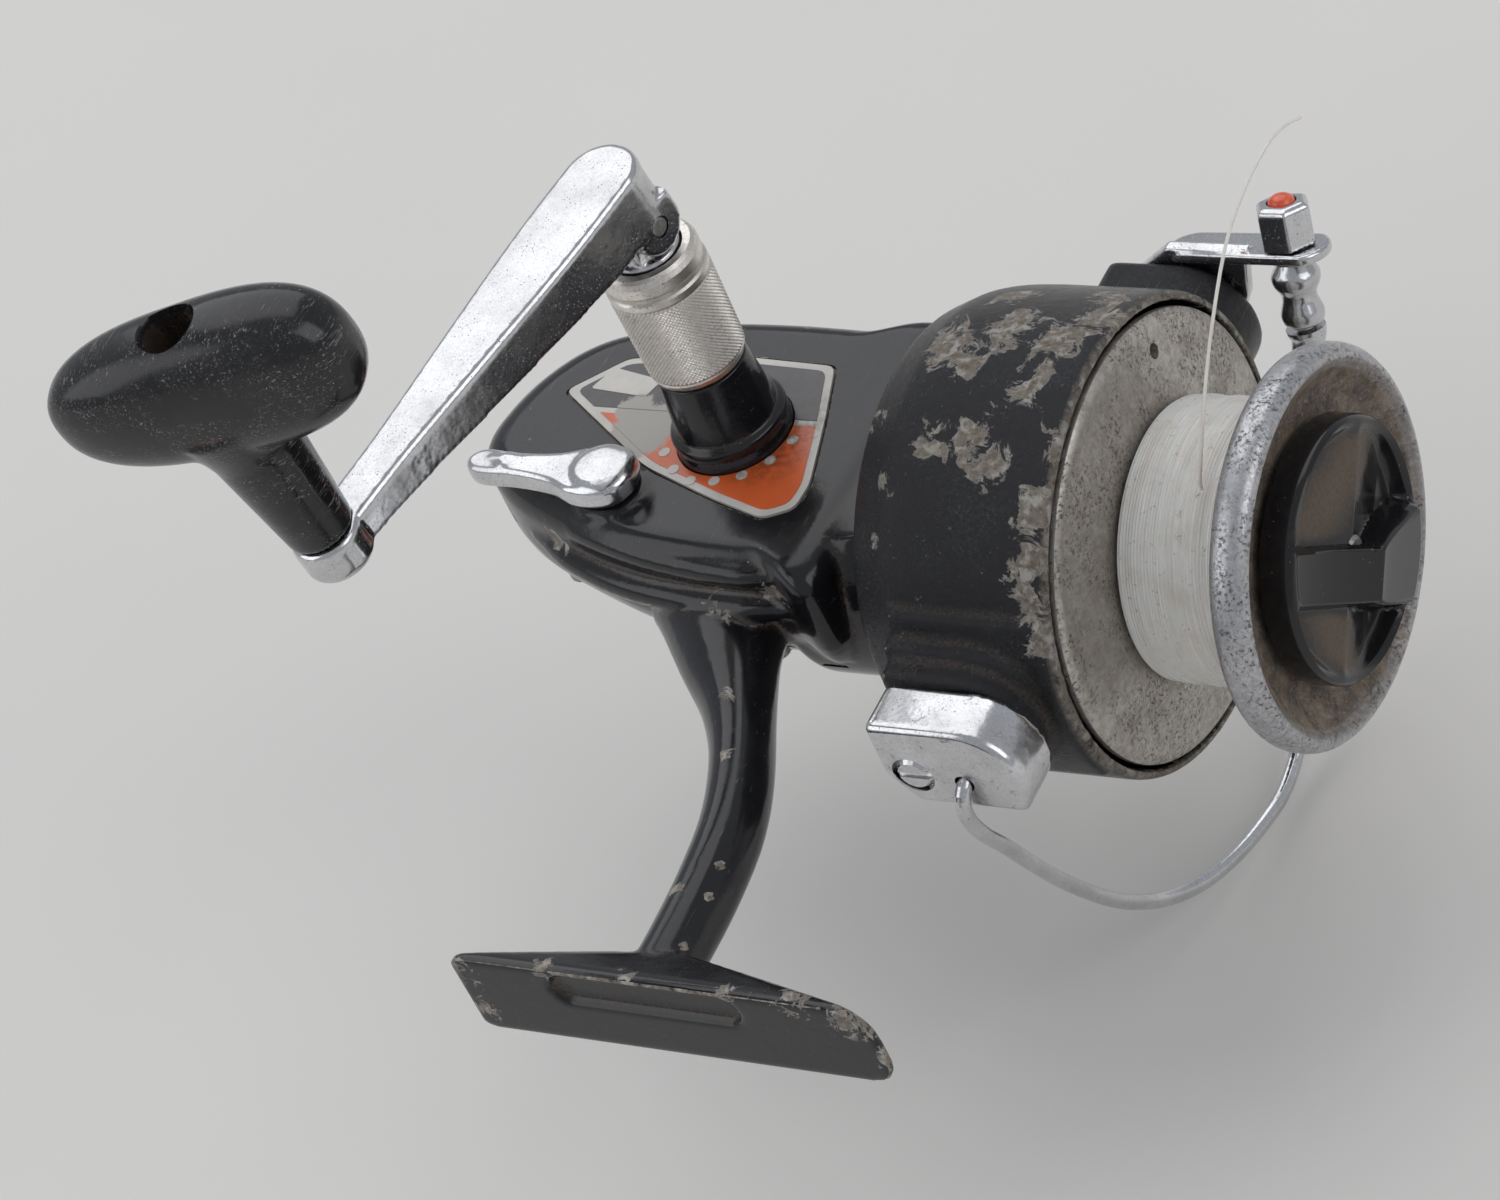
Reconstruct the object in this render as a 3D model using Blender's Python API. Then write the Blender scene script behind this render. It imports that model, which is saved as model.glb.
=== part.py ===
"""A spinning reel, lying on its right side with the handle up.

+X runs forward along the spool axis, +Z out of the handle side and -Y towards the rod. The origin is the
centre of the foot's flat mounting face. Every piece is modelled about the spool axis, from the rotor's rear
plane, and then hung on the empty "spool_axis", which stands at that point.
"""
import math

import bmesh
import bpy
from mathutils import Matrix, Vector

# Driving dimensions, in millimetres.
AXIS_HEIGHT = 82.0
ROTOR_REAR_X = 1.85
ROTOR_RADIUS = 30.0
ROTOR_LENGTH = 29.3
SPOOL_RADIUS = 28.1
FRONT_FLANGE_RADIUS = 24.8
FRONT_FLANGE_X = 47.5
NOSE_X = 58.0
LINE_RADIUS = 17.6
SHAFT_RADIUS = 1.9
GEAR_X = -28.3
HOUSING_TOP = 13.2
HOUSING_FLOOR = -6.0
COVER_BOTTOM = -11.0
FOOT_REAR_X = -31.3
FOOT_FRONT_X = 27.0
FOOT_WIDTH = 12.6
BAIL_X = 12.3
BAIL_WIRE_RADIUS = 1.0
CRANK_LENGTH = 57.0
CRANK_TURN = math.radians(13.5)
CRANK_DROOP = math.radians(7.0)
CRANK_PIN_Z = 50.0
SLEEVE_BOTTOM = 26.3
SLEEVE_TOP = 45.0
GEAR_TEETH = 44
PINION_TEETH = 11
FIT = 0.3
SLIP = 0.15

# Directions and points that several pieces share.
CRANK_ALONG = Vector((
    -math.sin(CRANK_TURN) * math.cos(CRANK_DROOP),
    -math.cos(CRANK_TURN) * math.cos(CRANK_DROOP),
    -math.sin(CRANK_DROOP),
))
CRANK_ACROSS = Vector((math.cos(CRANK_TURN), -math.sin(CRANK_TURN), 0.0))
CRANK_UP = CRANK_ACROSS.cross(CRANK_ALONG).normalized()
if CRANK_UP.z < 0:
    CRANK_UP = -CRANK_UP
CRANK_PIN = Vector((GEAR_X, 0.0, CRANK_PIN_Z))
CRANK_FACE = 9.0
ROLLER_AXIS = Vector((-0.02, 0.31, 0.95)).normalized()
ROLLER_CENTRE = Vector((31.8, 39.8, 3.4))
LEVER_PIVOT = Vector((-41.5, -11.4, 0.0))
PAINT = (0.02, 0.02, 0.022, 1.0)
STEEL = (0.55, 0.55, 0.56, 1.0)
CHROME = (0.8, 0.8, 0.82, 1.0)
NICKEL = (0.6, 0.58, 0.55, 1.0)
ALUMINIUM = (0.5, 0.48, 0.45, 1.0)
BRASS = (0.6, 0.45, 0.2, 1.0)
ORANGE = (0.75, 0.16, 0.04, 1.0)
LINE = (0.75, 0.72, 0.64, 1.0)
RED = (0.8, 0.08, 0.03, 1.0)
FELT = (0.25, 0.2, 0.15, 1.0)


def material(name, colour, roughness, metallic):
    found = bpy.data.materials.get(name)
    if found:
        return found
    made = bpy.data.materials.new(name)
    made.use_nodes = True
    shader = made.node_tree.nodes["Principled BSDF"]
    shader.inputs["Base Color"].default_value = colour
    shader.inputs["Roughness"].default_value = roughness
    shader.inputs["Metallic"].default_value = metallic
    made.diffuse_color = colour
    return made


def finish(name, bm, finish_of, helper=False):
    """One object from a bmesh in millimetres, hung on the spool axis."""
    bmesh.ops.recalc_face_normals(bm, faces=bm.faces)
    bmesh.ops.scale(bm, vec=(0.001, 0.001, 0.001), verts=bm.verts)
    mesh = bpy.data.meshes.new(name)
    bm.to_mesh(mesh)
    bm.free()
    mesh.shade_smooth()
    mesh.set_sharp_from_angle(angle=math.radians(35))
    made = bpy.data.objects.new(name, mesh)
    bpy.context.scene.collection.objects.link(made)
    made.parent = bpy.data.objects["spool_axis"]
    if helper:
        made.hide_render = True
        made.display_type = "WIRE"
    else:
        mesh.materials.append(finish_of)
    return made


def turned(profile, steps=32, axis="X", at=(0, 0, 0), along=None):
    """A bmesh turned from a closed (distance along, radius) outline about X, Z or any direction."""
    bm = bmesh.new()
    verts = [bm.verts.new((along_x, radius, 0)) for along_x, radius in profile]
    edges = [bm.edges.new((a, b)) for a, b in zip(verts, verts[1:] + verts[:1])
             if a.co.y > 1e-6 or b.co.y > 1e-6]
    bmesh.ops.spin(bm, geom=verts + edges, cent=(0, 0, 0), axis=(1, 0, 0), angle=2 * math.pi,
                   steps=steps, use_merge=True)
    bmesh.ops.remove_doubles(bm, verts=bm.verts, dist=1e-4)
    direction = Vector(along) if along is not None else Vector((1, 0, 0) if axis == "X" else (0, 0, 1))
    turn = Vector((1, 0, 0)).rotation_difference(direction).to_matrix().to_4x4()
    bmesh.ops.transform(bm, matrix=Matrix.Translation(at) @ turn, verts=bm.verts)
    return bm


def tube(inner, outer, start, end):
    """The outline of a plain ring, for turned()."""
    return [(start, inner), (start, outer), (end, outer), (end, inner)]


def rod(radius, start, end, chamfer=0.0):
    """The outline of a plain pin, for turned()."""
    if chamfer:
        return [(start, 0), (start, radius - chamfer), (start + chamfer, radius),
                (end - chamfer, radius), (end, radius - chamfer), (end, 0)]
    return [(start, 0), (start, radius), (end, radius), (end, 0)]


def prism(outline, low, high, bevel=0.0, segments=2, top_only=False):
    """A bmesh extruded from an (x, y) outline between two heights."""
    bm = bmesh.new()
    face = bm.faces.new([bm.verts.new((x, y, low)) for x, y in outline])
    made = bmesh.ops.extrude_face_region(bm, geom=[face])
    top = [v for v in made["geom"] if isinstance(v, bmesh.types.BMVert)]
    bmesh.ops.translate(bm, vec=(0, 0, high - low), verts=top)
    if bevel:
        rims = [e for e in bm.edges if abs(e.verts[0].co.z - e.verts[1].co.z) < 1e-6
                and (not top_only or e.verts[0].co.z > (low + high) / 2)]
        bmesh.ops.bevel(bm, geom=rims, offset=bevel, offset_type="OFFSET", affect="EDGES",
                        segments=segments, profile=0.5, material=-1, clamp_overlap=True)
    return bm


def smooth_loop(points, steps):
    """Points along a closed Catmull-Rom curve through the given ones."""
    count = len(points)
    found = []
    for i in range(count):
        p0, p1, p2, p3 = (Vector(points[(i + k - 1) % count]) for k in range(4))
        for s in range(steps):
            t = s / steps
            found.append(0.5 * (2 * p1 + (p2 - p0) * t + (2 * p0 - 5 * p1 + 4 * p2 - p3) * t * t
                                + (3 * p1 - p0 - 3 * p2 + p3) * t ** 3))
    return found


def smooth_path(points, steps):
    """Points along an open Catmull-Rom curve through the given ones."""
    points = [Vector(p) for p in points]
    ends = [2 * points[0] - points[1]] + points + [2 * points[-1] - points[-2]]
    found = []
    for i in range(1, len(ends) - 2):
        p0, p1, p2, p3 = ends[i - 1:i + 3]
        for s in range(steps):
            t = s / steps
            found.append(0.5 * (2 * p1 + (p2 - p0) * t + (2 * p0 - 5 * p1 + 4 * p2 - p3) * t * t
                                + (3 * p1 - p0 - 3 * p2 + p3) * t ** 3))
    return found + [points[-1]]


def swept(points, radii, sides=10, squash=None):
    """A closed tube through the points, round or, with squash, an ellipse flattened along Z."""
    bm = bmesh.new()
    normal = None
    rings = []
    for i, point in enumerate(points):
        ahead = (points[min(i + 1, len(points) - 1)] - points[max(i - 1, 0)]).normalized()
        if normal is None:
            normal = ahead.orthogonal() if squash is None else Vector((0, 0, 1))
        normal = (normal - ahead * normal.dot(ahead)).normalized()
        side = ahead.cross(normal)
        wide = radii[i] if squash is None else squash[i]
        rings.append([bm.verts.new(point + normal * wide * math.cos(2 * math.pi * k / sides)
                                   + side * radii[i] * math.sin(2 * math.pi * k / sides))
                      for k in range(sides)])
    for a, b in zip(rings, rings[1:]):
        for k in range(sides):
            bm.faces.new((a[k], a[(k + 1) % sides], b[(k + 1) % sides], b[k]))
    bm.faces.new(rings[0])
    bm.faces.new(rings[-1][::-1])
    return bm


def toothed(teeth, root, tip, duty=0.42):
    """The outline of a straight-cut wheel."""
    outline = []
    for tooth in range(teeth):
        middle = 2 * math.pi * tooth / teeth
        half = math.pi / teeth
        for angle, radius in ((-half, root), (-half * duty * 1.35, root), (-half * duty * 0.7, tip),
                              (half * duty * 0.7, tip), (half * duty * 1.35, root)):
            outline.append((radius * math.cos(middle + angle), radius * math.sin(middle + angle)))
    return outline


def arc(cx, cy, radius, start, end, count):
    """Points on an arc, in degrees."""
    return [(cx + radius * math.cos(math.radians(start + (end - start) * i / (count - 1))),
             cy + radius * math.sin(math.radians(start + (end - start) * i / (count - 1))))
            for i in range(count)]


def placed(bm, x_axis, y_axis, z_axis, at):
    """Moves a bmesh so that its own axes point along the given ones, from the given point."""
    matrix = Matrix((x_axis, y_axis, z_axis)).transposed().to_4x4()
    bmesh.ops.transform(bm, matrix=Matrix.Translation(at) @ matrix, verts=bm.verts)
    return bm


def combine(target, other, operation):
    """Adds or cuts one shape with a helper, in a live Boolean."""
    modifier = target.modifiers.new(operation.lower(), "BOOLEAN")
    modifier.operation = operation
    modifier.object = other
    return target


def cut(target, bm, name):
    return combine(target, finish(name + "_cutter", bm, None, helper=True), "DIFFERENCE")


def join(target, bm, name):
    return combine(target, finish(name + "_form", bm, None, helper=True), "UNION")


HOUSING_OUTLINE = [(-6, 20.5), (-18, 21.4), (-31, 21.7), (-43, 21.0), (-54, 18.5), (-60.5, 14.8), (-64.8, 8.6),
                   (-66.8, 1.6), (-66.6, -3.6), (-63.6, -7.8), (-57, -12.5), (-45.5, -17.2), (-36, -20), (-26, -21.2),
                   (-15, -21.4), (-6, -20.5)]
# Height, the outline's size there against its full size, and how far it moves towards +Y.
HOUSING_LEVELS = ((-11.0, 0.70, 2.8), (-9.8, 0.81, 2.4), (-6.3, 0.91, 1.6), (-6.0, 0.915, 1.5), (-2.0, 0.97, 0.4),
                  (2.0, 1.0, 0.0), (9.6, 1.0, 0.0), (11.7, 0.96, 0.0), (12.8, 0.91, 0.0), (13.2, 0.85, 0.0))


def housing_outline(size=1.0, shift=0.0):
    """The gearbox seen from the handle side, drawn in towards the gears."""
    loop = smooth_loop([(x, y, 0) for x, y in HOUSING_OUTLINE], 3)
    middle = Vector((-34.0, 0.0, 0.0))
    loop = [middle + (point - middle) * size for point in loop]
    return [(p.x, p.y + shift) for p in loop]


def lofted(levels):
    """A solid through the gearbox's outline at each level."""
    bm = bmesh.new()
    rings = [[bm.verts.new((x, y, z)) for x, y in housing_outline(size, shift)] for z, size, shift in levels]
    count = len(rings[0])
    for low, high in zip(rings, rings[1:]):
        for k in range(count):
            bm.faces.new((low[k], low[(k + 1) % count], high[(k + 1) % count], high[k]))
    bm.faces.new(rings[0][::-1])
    bm.faces.new(rings[-1])
    return bm


def make_housing(paint):
    body = finish("reel_body", lofted([level for level in HOUSING_LEVELS if level[0] >= HOUSING_FLOOR]), paint)
    collar = turned([(-18, 0), (-18, 19.0), (-16.6, 20.3), (-4.4, 20.3), (-2.2, 19.3), (-2.2, 0)], 40)
    join(body, collar, "collar")
    flat = prism([(-19, -24), (-1, -24), (-1, 24), (-19, 24)], HOUSING_TOP - 0.4, 30)
    cut(bpy.data.objects["collar_form"], flat, "collar_flat")
    stem = smooth_path([(-28, -18, 0), (-23.5, -26, 0), (-17.8, -34.3, 0), (-12.4, -43, 0), (-8.6, -52.5, 0),
                        (-6.6, -62, 0), (-6.2, -70, 0), (-6.2, -75, 0)], 3)
    sizes = [(9.5 - 5.0 * min(1.0, i / 12)) for i in range(len(stem))]
    widths = [5.6 - 1.2 * i / len(stem) for i in range(len(stem))]
    join(body, swept(stem, sizes, 16, squash=widths), "stem")
    foot = bmesh.new()
    half = FOOT_WIDTH / 2
    plan = [(FOOT_REAR_X, half), (FOOT_REAR_X, -half)]
    plan += arc(FOOT_FRONT_X - 3.0, -half + 3.0, 3.0, -90, 0, 5) + arc(FOOT_FRONT_X - 5.5, half - 5.5, 5.5, 0, 90, 6)
    for x, z in plan:
        foot.verts.new((x, -AXIS_HEIGHT, z))
        foot.verts.new((x, -AXIS_HEIGHT + 1.3, z))
    for x, y in ((-12.0, -75.6), (-2.0, -74.6)):
        foot.verts.new((x, y, 3.6))
        foot.verts.new((x, y, -3.6))
    hull = bmesh.ops.convex_hull(foot, input=foot.verts)
    bmesh.ops.delete(foot, geom=list(set(hull["geom_interior"] + hull["geom_unused"])), context="VERTS")
    join(body, foot, "foot")
    cut(body, prism(badge_outline(0.4), HOUSING_TOP - 0.5, HOUSING_TOP + 1), "badge_recess")
    tower = turned([(HOUSING_TOP - 3, 0), (HOUSING_TOP - 3, 8.8), (HOUSING_TOP + 1.2, 8.8), (14.6, 8.2),
                    (15.4, 7.4), (16.6, 7.4), (17.4, 6.7), (SLEEVE_BOTTOM - FIT, 5.9),
                    (SLEEVE_BOTTOM - FIT, 0)], 32, axis="Z", at=(GEAR_X, 0, 0))
    join(body, tower, "tower")
    inside = [(x, y) for x, y in housing_outline(0.86, 0.9) if x < -12.5]
    inside = [(-11.5, inside[0][1])] + inside + [(-11.5, inside[-1][1])]
    cut(body, prism(inside, HOUSING_FLOOR - 1, 11.0), "gear_room")
    cut(body, turned(rod(6.2, -13, -1), 32), "bearing_seat")
    cut(body, turned(rod(5.2, 9, SLEEVE_BOTTOM + 1), 24, axis="Z", at=(GEAR_X, 0, 0)), "bushing_seat")
    cut(body, turned(rod(1.75, 10.3, 15.5), 14, axis="Z", at=LEVER_PIVOT), "lever_hole")
    slot = arc(10.8, 0, 2.5, -90, 90, 7) + arc(-10.8, 0, 2.5, 90, 270, 7)
    recess = prism(slot, -1.0, 1.2)
    placed(recess, Vector((1, 0, 0)), Vector((0, 0, -1)), Vector((0, 1, 0)), (-4.3, -AXIS_HEIGHT, 3.1))
    cut(body, recess, "foot_recess")
    for index, (x, y) in enumerate(SCREW_PLACES):
        post = turned(rod(2.9, HOUSING_FLOOR + 0.45, 3.2), 16, axis="Z", at=(x, y, 0))
        join(body, post, f"screw_post_{index}")
        cut(body, turned(rod(1.3, HOUSING_FLOOR - 1, 1.6), 12, axis="Z", at=(x, y, 0)), f"screw_hole_{index}")
    return body


SCREW_PLACES = ((-23.5, 17.8), (-50.0, 14.6), (-59.5, -4.5), (-24.5, -15.0))


def badge_outline(grow=0.0):
    """The shield on the handle side, with the handle's tower standing in it."""
    corners = [(-57.2, 5.2), (-50.5, 11.6), (-35, 13.2), (-19.6, 12.4), (-16.5, 3), (-13.4, -8), (-13.6, -12.2),
               (-17.5, -14.2), (-26, -11.6), (-37.5, -7.4), (-39.5, -6.4)]
    centre = Vector((-33, 1, 0))
    return [tuple((Vector((x, y, 0)) + (Vector((x, y, 0)) - centre).normalized() * grow)[:2]) for x, y in corners]


def make_covers(paint, steel, orange):
    cover = finish("side_cover", lofted([level for level in HOUSING_LEVELS if level[0] <= HOUSING_FLOOR - FIT]), paint)
    cut(cover, prism([(-18.6, -30), (0, -30), (0, 30), (-18.6, 30)], COVER_BOTTOM - 1, 0), "collar_clearance")
    badge = finish("side_badge", prism(badge_outline(), HOUSING_TOP - 0.2, HOUSING_TOP + 0.35), orange)
    cut(badge, turned(rod(9.2, 12, 15), 32, axis="Z", at=(GEAR_X, 0, 0)), "badge_bore")
    for index, (x, y) in enumerate(SCREW_PLACES):
        cut(cover, turned([(COVER_BOTTOM - 1, 0), (COVER_BOTTOM - 1, 2.6), (-9.0, 2.6), (-9.0, 1.4),
                           (HOUSING_FLOOR + 1, 1.4), (HOUSING_FLOOR + 1, 0)], 16, axis="Z", at=(x, y, 0)),
            f"cover_hole_{index}")
        screw = turned([(-10.8, 0), (-10.8, 1.8), (-10.3, 2.3), (-9.3, 2.3), (-9.3, 1.0), (1.0, 1.0), (1.0, 0)],
                       16, axis="Z", at=(x, y, 0))
        made = finish(f"cover_screw_{index + 1}", screw, steel)
        cut(made, prism([(x - 3, y - 0.35), (x + 3, y - 0.35), (x + 3, y + 0.35), (x - 3, y + 0.35)], -12, -10.2),
            f"screw_slot_{index}")


def make_bearings(steel, brass):
    finish("pinion_bearing", turned(tube(4.3, 6.0, -9.5, -4.5), 24), steel)
    finish("drive_bushing", turned(tube(3.2, 5.0, 11.4, SLEEVE_BOTTOM - 1.0), 24, axis="Z", at=(GEAR_X, 0, 0)), brass)


def make_drive(steel, brass):
    gear = finish("drive_gear", turned([(4.6, 0), (4.6, 13.2), (5.2, 13.2), (5.2, 16.4), (7.4, 16.4), (7.4, 6.0),
                                        (8.6, 5.2), (8.6, 0)], 44, axis="Z", at=(GEAR_X, 0, 0)), brass)
    for tooth in range(GEAR_TEETH):
        angle = 2 * math.pi * tooth / GEAR_TEETH
        bm = bmesh.new()
        inner, outer = 13.0, 16.3
        corners = [(inner, -0.38), (outer, -0.5), (outer, 0.5), (inner, 0.38)]
        low = [bm.verts.new((r, s * 0.62, 4.15)) for r, s in corners]
        high = [bm.verts.new((r, s, 5.6)) for r, s in corners]
        bm.faces.new(low)
        bm.faces.new(high[::-1])
        for k in range(4):
            bm.faces.new((low[k], high[k], high[(k + 1) % 4], low[(k + 1) % 4]))
        bmesh.ops.rotate(bm, cent=(0, 0, 0), matrix=Matrix.Rotation(angle, 3, "Z"), verts=bm.verts)
        bmesh.ops.translate(bm, vec=(GEAR_X, 0, 0), verts=bm.verts)
        if tooth == 0:
            teeth = bm
        else:
            mesh = bpy.data.meshes.new("tooth")
            bm.to_mesh(mesh)
            bm.free()
            teeth.from_mesh(mesh)
            bpy.data.meshes.remove(mesh)
    join(gear, teeth, "gear_teeth")
    finish("drive_stud", turned(rod(1.2, 3.75, 4.3), 12, axis="Z", at=(GEAR_X + 7.0, 0, 0)), steel)
    finish("ratchet_wheel", prism([(GEAR_X + x, y) for x, y in ratchet_outline()], 8.9, 10.5), steel)
    finish("drive_shaft", turned([(10.8, 0), (10.8, 4.4), (11.1, 4.4), (11.1, 3.0), (SLEEVE_TOP - 4.0, 3.0),
                                  (SLEEVE_TOP - 4.0, 0)], 24, axis="Z", at=(GEAR_X, 0, 0)), steel)


def ratchet_outline():
    """Twelve saw teeth."""
    teeth = 12
    found = []
    for tooth in range(teeth):
        start = 2 * math.pi * tooth / teeth
        found.append((8.4 * math.cos(start), 8.4 * math.sin(start)))
        for step in (0.0, 0.5):
            angle = start + 2 * math.pi / teeth * (0.08 + step)
            radius = 6.7 + 1.0 * step
            found.append((radius * math.cos(angle), radius * math.sin(angle)))
    return found


def make_handle(steel, chrome, nickel, black):
    across, along, up = CRANK_ACROSS, CRANK_ALONG, CRANK_UP
    flat = Vector((along.x, along.y, 0)).normalized()
    lug = turned([(SLEEVE_TOP - 3.7, 0), (SLEEVE_TOP - 3.7, 4.6), (SLEEVE_TOP + 0.6, 4.6), (SLEEVE_TOP + 0.6, 0)],
                 24, axis="Z", at=(GEAR_X, 0, 0))
    made = finish("handle_lug", lug, nickel)
    tongue = prism([(-2.9, 0), (2.9, 0), (2.9, 8.4), (2.3, 9.0), (-2.3, 9.0), (-2.9, 8.4)], -3.6, 3.6)
    placed(tongue, across, Vector((0, 0, 1)), -flat, (GEAR_X, 0, SLEEVE_TOP - 1.0))
    join(made, tongue, "lug_tongue")
    cut(made, turned(rod(1.45, -6, 6), 16, along=across, at=CRANK_PIN), "lug_bore")
    finish("locking_sleeve", turned([(SLEEVE_BOTTOM, 4.9), (SLEEVE_BOTTOM, 5.3), (SLEEVE_BOTTOM + 1.2, 5.9),
                                     (SLEEVE_TOP - 4.5, 6.5), (SLEEVE_TOP - 3.8, 6.2), (SLEEVE_TOP - 1.0, 6.2),
                                     (SLEEVE_TOP, 5.8), (SLEEVE_TOP, 4.9)], 32, axis="Z", at=(GEAR_X, 0, 0)), nickel)
    finish("crank_pin", turned(rod(1.25, -5.3, 5.3, 0.2), 16, along=across, at=CRANK_PIN), steel)
    hub = CRANK_PIN
    outline = arc(0.6, 0, 5.4, 172, 90, 7) + [(16, 5.3), (30, 4.3), (44, 3.4), (CRANK_LENGTH - 1.0, 3.3)]
    outline = outline + [(x, -y) for x, y in outline[::-1]]
    arm = prism([(x, y) for x, y in outline], -1.0, CRANK_FACE, bevel=0.8, segments=2, top_only=True)
    placed(arm, along, up.cross(along), up, hub)
    made = finish("crank_arm", arm, chrome)
    taper = prism([(-8, -9), (CRANK_LENGTH, -9), (CRANK_LENGTH, CRANK_FACE - 4.2), (8, 0.4), (-8, 0.4)], -9, 9)
    placed(taper, along, up, along.cross(up), hub)
    cut(made, taper, "crank_taper")
    ear = prism(arc(0, 0, 3.8, 180, 360, 9) + [(3.8, 3.0), (-3.8, 3.0)], -5.2, 5.2)
    placed(ear, along, up, along.cross(up), hub)
    join(made, ear, "crank_ear")
    channel = prism([(-9, -3.9), (CRANK_LENGTH - 9, -1.9), (CRANK_LENGTH - 9, 1.9), (-9, 3.9)], -9, CRANK_FACE - 1.6)
    placed(channel, along, up.cross(along), up, hub)
    cut(made, channel, "crank_channel")
    eye = turned([(CRANK_FACE - 5.4, 0), (CRANK_FACE - 5.4, 3.9), (CRANK_FACE - 4.6, 4.5), (CRANK_FACE - 0.6, 4.5),
                  (CRANK_FACE, 4.1), (CRANK_FACE, 0)], 24, along=up, at=hub + along * CRANK_LENGTH)
    join(made, eye, "crank_eye")
    cut(made, turned(rod(1.45, -6, 6), 16, along=across, at=CRANK_PIN), "crank_bore")
    cut(made, turned(rod(1.75, -2, 12), 16, along=up, at=hub + along * CRANK_LENGTH), "crank_eye_bore")
    tip = hub + along * CRANK_LENGTH
    finish("knob_spindle", turned([(2.8, 0), (2.8, 2.6), (3.4, 2.6), (3.4, 1.6), (34.0, 1.6), (34.0, 2.6), (35.0, 2.6),
                                   (35.0, 0)], 16, along=up, at=tip), steel)
    neck = turned([(CRANK_FACE + FIT, 1.9), (CRANK_FACE + FIT, 4.2), (CRANK_FACE + 1.2, 4.35), (26.0, 5.7),
                   (29.0, 6.4), (33.7, 6.4), (33.7, 1.9)], 24, along=up, at=tip)
    knob = finish("handle_knob", neck, black)
    paddle_across = Vector((math.cos(KNOB_TURN), math.sin(KNOB_TURN), 0))
    paddle_across = (paddle_across - up * paddle_across.dot(up)).normalized()
    paddle = bmesh.new()
    bmesh.ops.create_uvsphere(paddle, u_segments=24, v_segments=12, radius=1.0)
    for vert in paddle.verts:
        swell = abs(vert.co.x) ** 0.75
        vert.co.x = math.copysign(swell, vert.co.x) * 20.0
        vert.co.y *= 7.6
        vert.co.z *= 10.3
    placed(paddle, paddle_across, up.cross(paddle_across), up, tip + up * KNOB_HEIGHT)
    join(knob, paddle, "paddle")
    cut(knob, turned([(5, 0), (5, 1.9), (33.5, 1.9), (33.5, 3.3), (60, 3.3), (60, 0)], 20, along=up, at=tip),
        "knob_bore")


KNOB_TURN = math.radians(20.0)
KNOB_HEIGHT = 37.0


def make_lever(chrome, steel):
    outline = smooth_loop([(4.4, 1.4, 0), (2.6, 4.0, 0), (-2.0, 4.0, 0), (-7, 2.4, 0), (-13, 1.9, 0), (-18.5, 2.1, 0),
                           (-20.6, 0.2, 0), (-19, -2.0, 0), (-13, -2.2, 0), (-7, -3.0, 0), (-2.5, -4.6, 0),
                           (2.6, -4.2, 0), (4.6, -1.6, 0)], 2)
    lever = finish("anti_reverse_lever", prism([(LEVER_PIVOT.x + p.x, LEVER_PIVOT.y + p.y) for p in outline],
                                               HOUSING_TOP + 0.8, HOUSING_TOP + 5.0, bevel=1.2, segments=2,
                                               top_only=True), chrome)
    join(lever, turned([(8.9, 0), (8.9, 1.5), (HOUSING_TOP + 1.2, 1.5), (HOUSING_TOP + 1.2, 0)], 16, axis="Z",
                       at=LEVER_PIVOT), "lever_shaft")
    turn = math.radians(17.2)
    pawl = [(-2.5, -1.2), (-1.4, -2.3), (1.4, -2.4), (7.9, -0.5), (8.2, 0.4), (2.6, 2.5), (-1.4, 2.5), (-2.5, 1.4)]
    pawl = [(LEVER_PIVOT.x + x * math.cos(turn) - y * math.sin(turn),
             LEVER_PIVOT.y + x * math.sin(turn) + y * math.cos(turn)) for x, y in pawl]
    made = finish("anti_reverse_pawl", prism(pawl, 9.0, 10.6), steel)
    cut(made, turned(rod(1.8, 8, 12), 16, axis="Z", at=LEVER_PIVOT), "pawl_bore")


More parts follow.
